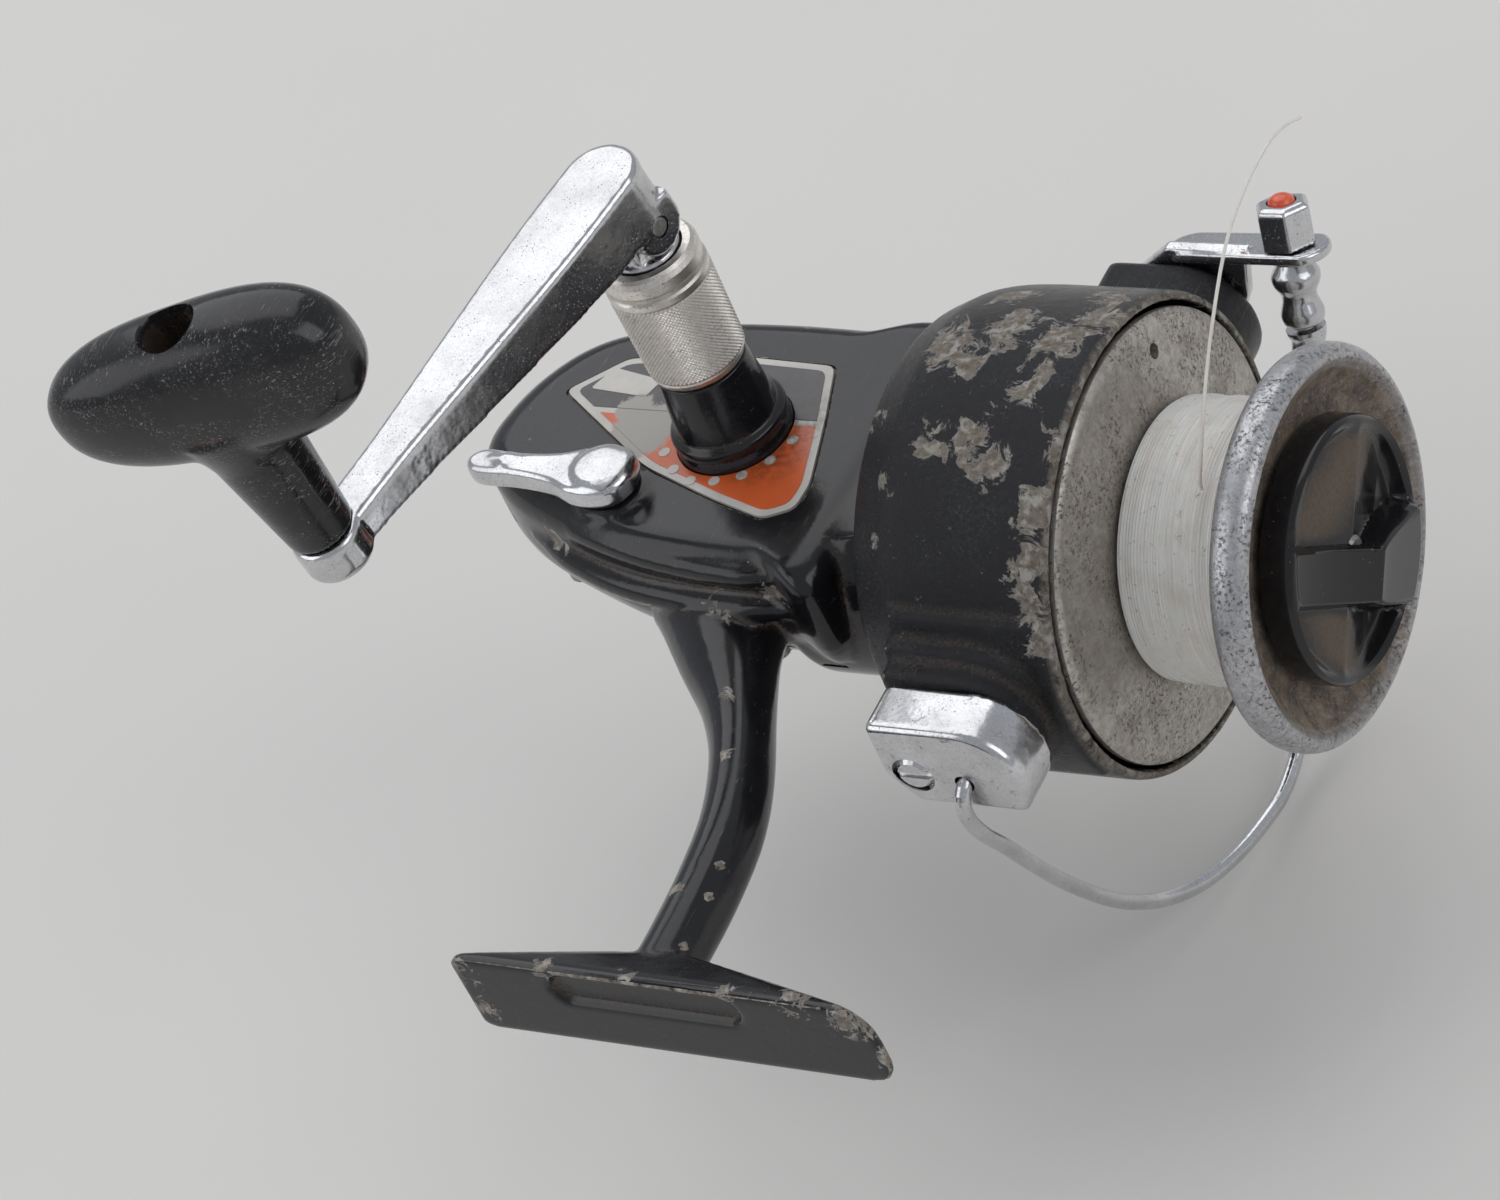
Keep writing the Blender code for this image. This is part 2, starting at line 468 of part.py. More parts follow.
def make_rotor(paint, steel, brass):
    cup = finish("rotor_cup", turned([(0, 3.4), (0, 24.6), (1.0, 25.8), (5.5, 28.4), (9.5, 29.6), (13, ROTOR_RADIUS),
                                      (28.3, ROTOR_RADIUS), (ROTOR_LENGTH, 29.6), (ROTOR_LENGTH, 28.6), (11.0, 28.6), (6.5, 26.6),
                                      (2.6, 22), (2.6, 9), (4.2, 8), (4.2, 3.4)], 56), paint)
    for side in (1, -1):
        top = 38.5 if side > 0 else 34.2
        outline = [(7.0, 9.0), (7.0, -9.0)] + arc(17.0, 0, 9.0, -90, 90, 9)
        arm = prism([(x, z) for x, z in outline], 27.5, top, bevel=0.8, top_only=True)
        placed(arm, Vector((1, 0, 0)), Vector((0, 0, side)), Vector((0, side, 0)), (0, 0, 0))
        name = "upper" if side > 0 else "lower"
        join(cup, arm, name + "_arm")
        cut(cup, turned(rod(1.4, 32.2 if side < 0 else 33.5, 50), 16, along=(0, side, 0), at=(BAIL_X, 0, 0)),
            name + "_pivot")
    cut(cup, turned(rod(28.75, 11.5, 31), 56), "spool_room")
    cut(cup, turned(tube(3.0, 6.4, 31.2, 40), 24, along=(0, -1, 0), at=(BAIL_X, 0, 0)), "spring_pocket")
    teeth = prism(toothed(PINION_TEETH, 3.1, 3.9), -17.5, -11.6)
    placed(teeth, Vector((0, 1, 0)), Vector((0, 0, 1)), Vector((1, 0, 0)), (0, 0, 0))
    pinion = finish("pinion_gear", teeth, brass)
    join(pinion, turned([(-12.0, 0), (-12.0, 4.1), (-1.2, 4.1), (-1.2, 3.1), (8.5, 3.1), (8.5, 0)], 24), "pinion_neck")
    cut(pinion, turned(rod(SHAFT_RADIUS + SLIP, -19, 10), 24), "pinion_bore")
    hexagon = [(6.4 * math.cos(math.radians(60 * k)), 6.4 * math.sin(math.radians(60 * k))) for k in range(6)]
    nut = prism(hexagon, 4.5, 7.6, bevel=0.4)
    placed(nut, Vector((0, 1, 0)), Vector((0, 0, 1)), Vector((1, 0, 0)), (0, 0, 0))
    made = finish("rotor_nut", nut, brass)
    cut(made, turned(rod(3.4, 3, 9), 24), "nut_bore")
    turns, points = 3.0, 48
    coil = [Vector((BAIL_X + 4.9 * math.cos(2 * math.pi * turns * i / points),
                    -(31.9 + 1.5 * i / points), 4.9 * math.sin(2 * math.pi * turns * i / points)))
            for i in range(points + 1)]
    finish("bail_spring", swept(coil, [0.22] * len(coil), 6), steel)


def make_bail(chrome, steel, nickel, red):
    outline = [(8.0, 8.0), (8.0, -8.0)] + arc(19.8, 0, 8.0, -90, 90, 11)
    cover = prism([(x, z) for x, z in outline], 34.5, 41.5, bevel=2.2, segments=3, top_only=True)
    placed(cover, Vector((1, 0, 0)), Vector((0, 0, -1)), Vector((0, -1, 0)), (0, 0, 0))
    made = finish("bail_cover", cover, chrome)
    pivot = (BAIL_X, 0, 0)
    cut(made, turned([(33, 0), (33, 1.5), (40.0, 1.5), (40.0, 2.8), (43, 2.8), (43, 0)], 20, along=(0, -1, 0), at=pivot),
        "cover_pivot")
    cut(made, turned(rod(1.3, 37.5, 43), 12, along=(0, -1, 0), at=(19.2, 0, -0.6)), "wire_hole")
    screw = [(32.6, 0), (32.6, 1.15), (40.3, 1.15), (40.3, 2.5), (41.1, 2.5), (41.6, 2.0), (41.6, 0)]
    made = finish("bail_pivot_screw_lower", turned(screw, 20, along=(0, -1, 0), at=pivot), steel)
    cut(made, screw_slot(-1, 41.0), "lower_screw_slot")
    plate = prism(arc(BAIL_X, 0, 6.5, 120, 270, 9) + [(20.5, -5.0), (25.0, 3.0), (27.0, 10.6), (15.5, 10.6)], 38.8, 40.8)
    plate.transform(Matrix(((1, 0, 0, 0), (0, 0, 1, 0), (0, 1, 0, 0), (0, 0, 0, 1))))
    arm = finish("bail_arm", plate, chrome)
    seat = ROLLER_CENTRE + ROLLER_AXIS * 5.0
    leaf = [(-17.4, -1.0), (-15.0, -2.5), (-3.5, -2.5)] + arc(1.2, 0, 3.9, -40, 100, 7) + [(-5, 2.4), (-15, 2.2),
                                                                                        (-17.4, 1.0)]
    bracket = prism(leaf, 0, 1.5, bevel=0.4)
    width = ROLLER_AXIS.cross(Vector((1, 0, 0))).normalized()
    length = width.cross(ROLLER_AXIS)
    placed(bracket, length, width, ROLLER_AXIS, seat)
    join(arm, bracket, "bail_bracket")
    cut(arm, turned(rod(1.5, 37, 43), 16, along=(0, 1, 0), at=pivot), "bail_arm_bore")
    cut(arm, turned(rod(1.4, 2, 10), 16, along=ROLLER_AXIS, at=ROLLER_CENTRE), "roller_screw_bore")
    screw = [(34.0, 0), (34.0, 1.15), (41.1, 1.15), (41.1, 2.9), (41.9, 2.9), (42.4, 2.2), (42.4, 0)]
    made = finish("bail_pivot_screw_upper", turned(screw, 20, along=(0, 1, 0), at=pivot), steel)
    cut(made, screw_slot(1, 41.8), "upper_screw_slot")
    hexagon = [(3.25 * math.cos(math.radians(60 * k)), 3.25 * math.sin(math.radians(60 * k))) for k in range(6)]
    nut = prism(hexagon, 6.8, 12.4, bevel=0.6, segments=2, top_only=True)
    placed(nut, length, width, ROLLER_AXIS, ROLLER_CENTRE)
    made = finish("roller_nut", nut, chrome)
    cut(made, turned([(6, 0), (6, 1.4), (11.2, 1.4), (11.2, 2.3), (14, 2.3), (14, 0)], 16, along=ROLLER_AXIS,
                     at=ROLLER_CENTRE), "nut_bore_2")
    finish("nut_jewel", turned([(11.5, 0), (11.5, 2.0), (12.6, 1.95), (13.2, 1.3), (13.4, 0)], 16, along=ROLLER_AXIS,
                               at=ROLLER_CENTRE), red)
    finish("roller_screw", turned([(-4.6, 0), (-4.6, 1.1), (10.9, 1.1), (10.9, 0)], 16, along=ROLLER_AXIS,
                                  at=ROLLER_CENTRE), steel)
    make_bail_wire(steel)


def screw_slot(side, depth):
    """A cutter for the slot of a bail pivot screw."""
    slot = prism([(-4, -0.4), (4, -0.4), (4, 0.4), (-4, 0.4)], depth, depth + 2)
    return placed(slot, Vector((1, 0, 0)), Vector((0, 0, side)), Vector((0, side, 0)), (BAIL_X, 0, 0))


def bail_route():
    """The wire's middle line: out of the cover, round under the spool and up to the roller."""
    route = [(19.2, -38.0, -0.6), (19.2, -41.0, -0.6), (18.9, -43.0, -1.8), (18.3, -43.4, -4.8), (18.5, -42.2, -8.8),
             (19.1, -39.6, -13.0), (19.3, -37.2, -19.6), (19.8, -34.2, -26.2), (21.0, -30.4, -33.4),
             (22.2, -27.0, -38.3), (23.4, -22.2, -43.1), (24.4, -16.0, -47.2), (25.3, -9.0, -49.9),
             (25.9, -1.6, -51.6), (26.2, 5.0, -52.2), (25.8, 12.0, -50.8), (25.3, 18.6, -47.0), (25.6, 24.2, -41.6),
             (26.6, 28.2, -34.8), (28.2, 30.6, -27.0), (29.8, 31.8, -19.4), (30.9, 32.8, -12.4), (31.4, 34.4, -6.4)]
    end = ROLLER_CENTRE - ROLLER_AXIS * 4.9
    return smooth_path(route + [end - ROLLER_AXIS * 3.4 + Vector((-0.7, -0.5, 0)), end - ROLLER_AXIS * 1.5, end], 2)


def make_bail_wire(steel):
    route = bail_route()
    radii = [BAIL_WIRE_RADIUS] * len(route)
    for back, radius in enumerate((2.6, 2.3, 1.9, 1.5, 1.2)):
        radii[-1 - back] = radius
    wire = finish("bail_wire", swept(route, radii, 8), steel)
    cut(wire, turned(rod(1.25, -5.2, 0), 12, along=ROLLER_AXIS, at=ROLLER_CENTRE), "wire_thread")


def make_roller(nickel):
    finish("line_roller", turned([(-4.3, 1.3), (-4.3, 2.5), (-2.9, 2.9), (-0.8, 2.2), (0.1, 2.3), (1.4, 3.1), (2.6, 3.2),
                                  (3.8, 2.4), (4.6, 2.0), (4.6, 1.3)], 20, along=ROLLER_AXIS, at=ROLLER_CENTRE), nickel)


def make_shaft(steel, brass):
    finish("main_shaft", turned(rod(SHAFT_RADIUS, -32.0, 54.8, 0.4), 20), steel)
    block = prism([(-24.4, -9.0), (-18.2, -9.0), (-18.2, 9.0), (-24.4, 9.0)], -3.4, 3.4, bevel=0.5)
    made = finish("crosshead", block, brass)
    cut(made, turned(rod(SHAFT_RADIUS + SLIP, -30, -10), 20), "crosshead_bore")
    cut(made, prism([(-23.0, -7.6), (-19.6, -7.6), (-19.6, 7.6), (-23.0, 7.6)], 2.4, 5), "crosshead_slot")
    return made


def make_spool(aluminium, line, steel, brass, felt):
    finish("spool", turned([(28.0, SHAFT_RADIUS + SLIP), (22.8, SHAFT_RADIUS + SLIP), (22.8, 5.0), (27.4, 5.0),
                            (27.4, 26.5), (27.9, SPOOL_RADIUS - 0.4), (28.6, SPOOL_RADIUS), (29.6, SPOOL_RADIUS - 0.7),
                            (30.0, 25.2), (31.0, 19.0), (31.0, 12.3), (FRONT_FLANGE_X, 12.3),
                            (FRONT_FLANGE_X, 23.0), (FRONT_FLANGE_X + 0.3, 24.2), (FRONT_FLANGE_X + 1.6, FRONT_FLANGE_RADIUS),
                            (FRONT_FLANGE_X + 3.2, FRONT_FLANGE_RADIUS), (FRONT_FLANGE_X + 4.6, 24.0),
                            (FRONT_FLANGE_X + 4.9, 22.9), (49.0, 18.4),
                            (49.0, 11.0), (42.0, 11.0), (42.0, SHAFT_RADIUS + SLIP)], 48), aluminium)
    finish("line_winding", turned([(31.4, 12.6), (31.4, 17.0), (32.2, LINE_RADIUS), (46.2, LINE_RADIUS), (47.1, 17.0),
                                   (47.1, 12.6)], 36), line)
    finish("click_gear", placed(prism(toothed(20, 7.2, 8.2), 23.6, 25.4), Vector((0, 1, 0)), Vector((0, 0, 1)),
                                Vector((1, 0, 0)), (0, 0, 0)), steel)
    cut(bpy.data.objects["click_gear"], turned(rod(5.3, 22, 27), 24), "click_bore")
    for index, (kind, low) in enumerate(((steel, 42.3), (felt, 43.4), (steel, 44.5))):
        finish(f"drag_washer_{index + 1}", turned(tube(2.3, 10.4, low, low + 0.8), 28), kind)


def make_drag_knob(black, brass):
    knob = finish("drag_knob", turned([(50.0, 6.6), (50.0, 16.0), (50.6, 16.4), (53.6, 16.4), (54.6, 15.8), (54.9, 14.6),
                                       (54.9, 0), (52.0, 0), (52.0, 6.6)], 40), black)
    bar = prism([(-14.6, -3.6), (14.6, -3.6), (14.6, 3.6), (-14.6, 3.6)], 53, NOSE_X, bevel=1.2, segments=2, top_only=True)
    tilt = math.radians(-46)
    placed(bar, Vector((0, math.cos(tilt), math.sin(tilt))), Vector((0, -math.sin(tilt), math.cos(tilt))),
           Vector((1, 0, 0)), (0, 0, 0))
    join(knob, bar, "knob_bar")
    cut(knob, turned(rod(SHAFT_RADIUS + SLIP, 50, 55.4), 20), "knob_blind_bore")
    finish("drag_nut", placed(prism([(6.0 * math.cos(math.radians(60 * k)), 6.0 * math.sin(math.radians(60 * k)))
                                     for k in range(6)], 46.2, 51.6), Vector((0, 1, 0)), Vector((0, 0, 1)),
                              Vector((1, 0, 0)), (0, 0, 0)), brass)
    cut(bpy.data.objects["drag_nut"], turned(rod(SHAFT_RADIUS + SLIP, 45, 53), 20), "drag_nut_bore")


LINE_END = [(42.4, -7.2, 16.7), (43.3, -8.0, 19.0), (43.9, -6.3, 22.4), (44.4, -3.4, 26.6), (44.8, 2.4, 32.4),
            (45.0, 10.7, 38.1), (45.0, 17.5, 40.2), (45.0, 25.6, 40.8), (44.6, 31.2, 39.2), (44.0, 36.2, 36.3)]


def make_line_end(line):
    curve = bpy.data.curves.new("line_end", "CURVE")
    curve.dimensions = "3D"
    curve.bevel_depth = 0.00022
    curve.bevel_resolution = 2
    curve.use_fill_caps = True
    points = smooth_path(LINE_END, 4)
    spline = curve.splines.new("POLY")
    spline.points.add(len(points) - 1)
    for slot, point in zip(spline.points, points):
        slot.co = (*(point * 0.001), 1.0)
    curve.materials.append(line)
    made = bpy.data.objects.new("line_end", curve)
    bpy.context.scene.collection.objects.link(made)
    made.parent = bpy.data.objects["spool_axis"]


def main():
    for old in list(bpy.data.objects):
        bpy.data.objects.remove(old, do_unlink=True)
    axis = bpy.data.objects.new("spool_axis", None)
    axis.location = (ROTOR_REAR_X * 0.001, AXIS_HEIGHT * 0.001, 0)
    bpy.context.scene.collection.objects.link(axis)
    paint = material("black_paint", PAINT, 0.35, 0.0)
    black = material("black_plastic", PAINT, 0.25, 0.0)
    steel = material("steel", STEEL, 0.35, 1.0)
    chrome = material("chrome", CHROME, 0.12, 1.0)
    nickel = material("nickel", NICKEL, 0.4, 1.0)
    aluminium = material("aluminium", ALUMINIUM, 0.5, 1.0)
    brass = material("brass", BRASS, 0.35, 1.0)
    orange = material("badge_print", ORANGE, 0.45, 0.0)
    line = material("fishing_line", LINE, 0.35, 0.0)
    red = material("red_bead", RED, 0.2, 0.0)
    felt = material("felt", FELT, 0.9, 0.0)
    make_housing(paint)
    make_covers(paint, steel, orange)
    make_bearings(steel, brass)
    make_drive(steel, brass)
    make_handle(steel, chrome, nickel, black)
    make_lever(chrome, steel)
    make_rotor(paint, steel, brass)
    make_bail(chrome, steel, nickel, red)
    make_roller(nickel)
    make_shaft(steel, brass)
    make_spool(aluminium, line, steel, brass, felt)
    make_drag_knob(black, brass)
    make_line_end(line)


main()
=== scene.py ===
"""A spinning reel, lying on its side with the handle up.

The shapes are drawn in millimetres about the spool axis, from the rotor's rear plane: X forward along the
axis, -Y towards the foot, +Z out of the handle side. finished() moves each one into the part's own frame, in
metres, where the origin is the middle of the foot's mounting face.
"""

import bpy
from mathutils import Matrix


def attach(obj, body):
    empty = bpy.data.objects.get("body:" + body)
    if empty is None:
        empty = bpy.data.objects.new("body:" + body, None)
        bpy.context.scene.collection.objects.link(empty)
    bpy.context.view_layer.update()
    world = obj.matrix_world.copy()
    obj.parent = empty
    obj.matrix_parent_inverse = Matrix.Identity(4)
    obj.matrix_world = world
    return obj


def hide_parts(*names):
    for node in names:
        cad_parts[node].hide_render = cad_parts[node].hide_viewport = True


bl_info = {
    "name": "Spinning reel",
    "version": (1, 0, 0),
    "blender": (4, 5, 0),
    "location": "View3D > Sidebar > Reel",
    "description": "Builds a worn spinning reel piece by piece on its packed frame",
    "category": "Add Mesh",
}

import math

import bmesh
import bpy
from bpy.props import FloatProperty, FloatVectorProperty, IntProperty, PointerProperty
from bpy.types import Operator, Panel, PropertyGroup
from mathutils import Matrix, Vector

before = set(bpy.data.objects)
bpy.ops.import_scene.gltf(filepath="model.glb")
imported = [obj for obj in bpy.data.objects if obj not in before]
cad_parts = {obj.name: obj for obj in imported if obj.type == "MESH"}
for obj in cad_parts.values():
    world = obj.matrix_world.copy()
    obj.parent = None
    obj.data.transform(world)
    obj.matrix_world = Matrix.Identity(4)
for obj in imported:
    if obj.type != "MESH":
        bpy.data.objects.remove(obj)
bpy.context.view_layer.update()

SPOOL_AXIS = Vector((1.85, 82.0, 0.0))
MM = 0.001
X, Y, Z = Vector((1, 0, 0)), Vector((0, 1, 0)), Vector((0, 0, 1))
TOWER = Vector((-28.3, 0.0, 0.0))
CRANK_TURN, CRANK_DROOP = math.radians(13.5), math.radians(7.0)
ALONG = Vector((-math.sin(CRANK_TURN) * math.cos(CRANK_DROOP), -math.cos(CRANK_TURN) * math.cos(CRANK_DROOP),
                -math.sin(CRANK_DROOP)))
ACROSS = Vector((math.cos(CRANK_TURN), -math.sin(CRANK_TURN), 0.0))
UP = ALONG.cross(ACROSS).normalized()
HUB = Vector((-28.3, 0.0, 50.0))
CRANK_LENGTH, CRANK_FACE = 57.0, 9.0
ROLLER_AXIS = Vector((-0.02, 0.31, 0.95)).normalized()
ROLLER = Vector((31.8, 39.8, 3.4))
LEVER = Vector((-41.5, -11.4, 0.0))
BAIL_X = 12.3
GEARBOX_MIDDLE = Vector((-34.0, 0.0, 0.0))
BADGE_TOP = 13.5
DRAG_TILT = math.radians(-46)
FLOOR_Z = -0.0545
LINE_DIAMETER = 0.00044
GREY_INK = (0.2, 0.18, 0.16, 1.0)


# Sizes and colours ---------------------------------------------------------------------------------------

class ReelSizes(PropertyGroup):
    """Sizes that give the reel its build."""
    rotor_radius: FloatProperty(name="Rotor radius", description="Outside radius of the rotor cup",
                                default=0.030, min=0.029, max=0.031, unit="LENGTH", precision=4)
    flange_radius: FloatProperty(name="Front flange radius", description="Radius of the spool's front flange",
                                 default=0.0248, min=0.022, max=0.026, unit="LENGTH", precision=4)
    winding_radius: FloatProperty(name="Winding radius", description="How full of line the spool is",
                                  default=0.0176, min=0.0135, max=0.022, unit="LENGTH", precision=4)
    line_pitch: FloatProperty(name="Line pitch", description="Spacing of the turns of line",
                              default=0.00042, min=0.0002, max=0.001, unit="LENGTH", precision=5)
    wire_radius: FloatProperty(name="Bail wire radius", description="Radius of the bail's wire",
                               default=0.001, min=0.0006, max=0.0014, unit="LENGTH", precision=4)
    knurl_count: IntProperty(name="Knurl points", description="Diamonds round the locking sleeve",
                             default=72, min=24, max=90)
    knurl_depth: FloatProperty(name="Knurl depth", description="Height of the sleeve's diamonds",
                               default=0.0002, min=0.0, max=0.0006, unit="LENGTH", precision=5)
    casting_detail: FloatProperty(name="Casting detail", description="Grid size that fuses the cast shapes",
                                  default=0.00045, min=0.0003, max=0.001, unit="LENGTH", precision=5)


class ReelColours(PropertyGroup):
    """Colours of the painted and moulded pieces."""
    paint: FloatVectorProperty(name="Enamel", description="Stoved enamel on the castings", subtype="COLOR",
                               size=4, default=(0.010, 0.010, 0.012, 1.0), min=0.0, max=1.0)
    plastic: FloatVectorProperty(name="Plastic", description="Moulded knobs", subtype="COLOR",
                                 size=4, default=(0.010, 0.010, 0.011, 1.0), min=0.0, max=1.0)
    badge: FloatVectorProperty(name="Badge", description="Printed field of the side badge", subtype="COLOR",
                               size=4, default=(0.72, 0.125, 0.026, 1.0), min=0.0, max=1.0)
    bare_metal: FloatVectorProperty(name="Bare metal", description="Oxidised casting where the enamel has gone",
                                    subtype="COLOR", size=4, default=(0.30, 0.27, 0.235, 1.0), min=0.0, max=1.0)
    line: FloatVectorProperty(name="Line", description="Nylon line", subtype="COLOR",
                              size=4, default=(0.84, 0.83, 0.80, 1.0), min=0.0, max=1.0)
    dirt: FloatVectorProperty(name="Dirt", description="Dried dust in the corners", subtype="COLOR",
                              size=4, default=(0.16, 0.11, 0.07, 1.0), min=0.0, max=1.0)


def sizes():
    return bpy.context.scene.reel_sizes


def colours():
    return bpy.context.scene.reel_colours


# Shapes --------------------------------------------------------------------------------------------------

def turned(profile, along=X, at=(0, 0, 0), steps=96):
    """A lathe shape from a closed (distance, radius) outline."""
    bm = bmesh.new()
    verts = [bm.verts.new((x, radius, 0)) for x, radius in profile]
    edges = [bm.edges.new((a, b)) for a, b in zip(verts, verts[1:] + verts[:1])
             if a.co.y > 1e-6 or b.co.y > 1e-6]
    bmesh.ops.spin(bm, geom=verts + edges, cent=(0, 0, 0), axis=X, angle=2 * math.pi, steps=steps,
                   use_merge=True)
    bmesh.ops.remove_doubles(bm, verts=bm.verts, dist=1e-4)
    turn = X.rotation_difference(Vector(along)).to_matrix().to_4x4()
    bmesh.ops.transform(bm, matrix=Matrix.Translation(at) @ turn, verts=bm.verts)
    return bm


def rod(radius, start, end):
    """A plain bar's outline for turned()."""
    return [(start, 0), (start, radius), (end, radius), (end, 0)]


def rounded(profile, radius, steps=4, keep=()):
    """The outline with its corners rounded, except those whose index is in keep."""
    found = []
    count = len(profile)
    for i in range(count):
        here, back, ahead = (Vector(profile[k % count]) for k in (i, i - 1, i + 1))
        if i in keep or here.y < 1e-6:
            found.append(tuple(here))
            continue
        one, two = back - here, ahead - here
        reach = min(radius, one.length * 0.45, two.length * 0.45)
        start, end = here + one.normalized() * reach, here + two.normalized() * reach
        for s in range(steps + 1):
            t = s / steps
            found.append(tuple(start.lerp(here, t).lerp(here.lerp(end, t), t)))
    return found


def slab(outline, low, high, bevel=0.0, segments=4, top_only=False):
    """A plate from an outline, with its rims rounded over."""
    bm = bmesh.new()
    face = bm.faces.new([bm.verts.new((x, y, low)) for x, y in outline])
    made = bmesh.ops.extrude_face_region(bm, geom=[face])
    top = [v for v in made["geom"] if isinstance(v, bmesh.types.BMVert)]
    bmesh.ops.translate(bm, vec=(0, 0, high - low), verts=top)
    if bevel:
        rims = [e for e in bm.edges if abs(e.verts[0].co.z - e.verts[1].co.z) < 1e-6
                and (not top_only or e.verts[0].co.z > (low + high) / 2)]
        bmesh.ops.bevel(bm, geom=rims, offset=bevel, offset_type="OFFSET", affect="EDGES", segments=segments,
                        profile=0.5, material=-1, clamp_overlap=True)
    return bm


def placed(bm, x_axis, y_axis, z_axis, at=(0, 0, 0)):
    """Lays a shape along three given directions."""
    matrix = Matrix((x_axis, y_axis, z_axis)).transposed().to_4x4()
    bmesh.ops.transform(bm, matrix=Matrix.Translation(at) @ matrix, verts=bm.verts)
    return bm


def smooth_loop(points, steps):
    """Points along a closed curve through the given ones."""
    count = len(points)
    found = []
    for i in range(count):
        found += curve_span([Vector(points[(i + k - 1) % count]) for k in range(4)], steps)
    return found


def smooth_path(points, steps):
    """Points along an open curve through the given ones."""
    points = [Vector(p) for p in points]
    ends = [2 * points[0] - points[1]] + points + [2 * points[-1] - points[-2]]
    found = []
    for i in range(1, len(ends) - 2):
        found += curve_span(ends[i - 1:i + 3], steps)
    return found + [points[-1]]


def curve_span(p, steps):
    """One span of a curve, between the second and third of four points."""
    return [0.5 * (2 * p[1] + (p[2] - p[0]) * t + (2 * p[0] - 5 * p[1] + 4 * p[2] - p[3]) * t * t
                   + (3 * p[1] - p[0] - 3 * p[2] + p[3]) * t ** 3)
            for t in (s / steps for s in range(steps))]


def arc(cx, cy, radius, start, end, count):
    """Points round part of a circle, in degrees."""
    return [(cx + radius * math.cos(math.radians(start + (end - start) * i / (count - 1))),
             cy + radius * math.sin(math.radians(start + (end - start) * i / (count - 1))))
            for i in range(count)]


def drawn(bm, face, matrices):
    """Draws a closed shape out of one face, which takes each place in turn."""
    verts = list(face.verts)
    bmesh.ops.transform(bm, matrix=matrices[0], verts=verts)
    for before, after in zip(matrices, matrices[1:]):
        made = bmesh.ops.extrude_face_region(bm, geom=[face])
        verts = [v for v in made["geom"] if isinstance(v, bmesh.types.BMVert)]
        face = next(f for f in made["geom"] if isinstance(f, bmesh.types.BMFace))
        bmesh.ops.transform(bm, matrix=after @ before.inverted(), verts=verts)
    return bm


def swept(points, radii, sides=16, thick=None):
    """A closed bar through the points, round or, with thick, an ellipse that thick along Z."""
    bm = bmesh.new()
    bmesh.ops.create_circle(bm, cap_ends=True, radius=1.0, segments=sides)
    normal = None
    matrices = []
    for i, point in enumerate(points):
        ahead = (points[min(i + 1, len(points) - 1)] - points[max(i - 1, 0)]).normalized()
        if normal is None:
            normal = ahead.orthogonal() if thick is None else Z.copy()
        normal = (normal - ahead * normal.dot(ahead)).normalized()
        side = ahead.cross(normal)
        wide = radii[i] if thick is None else thick[i]
        turn = Matrix((normal * wide, side * radii[i], ahead)).transposed().to_4x4()
        matrices.append(Matrix.Translation(point) @ turn)
    bm.faces.ensure_lookup_table()
    return drawn(bm, bm.faces[0], matrices)


def merged(*shapes):
    """Several shapes in one bmesh."""
    whole = shapes[0]
    for shape in shapes[1:]:
        mesh = bpy.data.meshes.new("shape")
        shape.to_mesh(mesh)
        shape.free()
        whole.from_mesh(mesh)
        bpy.data.meshes.remove(mesh)
    return whole


def sliced(bm, at, away):
    """Cuts off what lies on the far side of a plane, and closes the cut."""
    made = bmesh.ops.bisect_plane(bm, geom=bm.verts[:] + bm.edges[:] + bm.faces[:], plane_co=at, plane_no=away,
                                  clear_outer=True)
    bmesh.ops.holes_fill(bm, edges=[g for g in made["geom_cut"] if isinstance(g, bmesh.types.BMEdge)])
    return bm


def scratch_object(name, bm):
    """A passing object that carries a shape while the modifiers work on it."""
    bmesh.ops.recalc_face_normals(bm, faces=bm.faces)
    bmesh.ops.scale(bm, vec=(MM,) * 3, verts=bm.verts)
    mesh = bpy.data.meshes.new(name)
    bm.to_mesh(mesh)
    bm.free()
    made = bpy.data.objects.new(name, mesh)
    bpy.context.scene.collection.objects.link(made)
    return made


def worked(bm, voxel=0.0, smooth=0, cutters=()):
    """Fuses overlapping shapes into one casting, softens its corners, then drills and mills it."""
    whole = scratch_object("blank", bm)
    made = [whole]
    if voxel:
        fuse = whole.modifiers.new("fuse", "REMESH")
        fuse.mode = "VOXEL"
        fuse.voxel_size = voxel * MM
    if smooth:
        soften = whole.modifiers.new("soften", "SMOOTH")
        soften.factor = 0.5
        soften.iterations = smooth
    for index, cutter in enumerate(cutters):
        tool = scratch_object("cutter", cutter)
        made.append(tool)
        mill = whole.modifiers.new(f"cut_{index}", "BOOLEAN")
        mill.operation = "DIFFERENCE"
        mill.object = tool
    mesh = bpy.data.meshes.new_from_object(whole.evaluated_get(bpy.context.evaluated_depsgraph_get()))
    found = bmesh.new()
    found.from_mesh(mesh)
    bpy.data.meshes.remove(mesh)
    for obj in made:
        mesh = obj.data
        bpy.data.objects.remove(obj)
        bpy.data.meshes.remove(mesh)
    bmesh.ops.scale(found, vec=(1 / MM,) * 3, verts=found.verts)
    return found


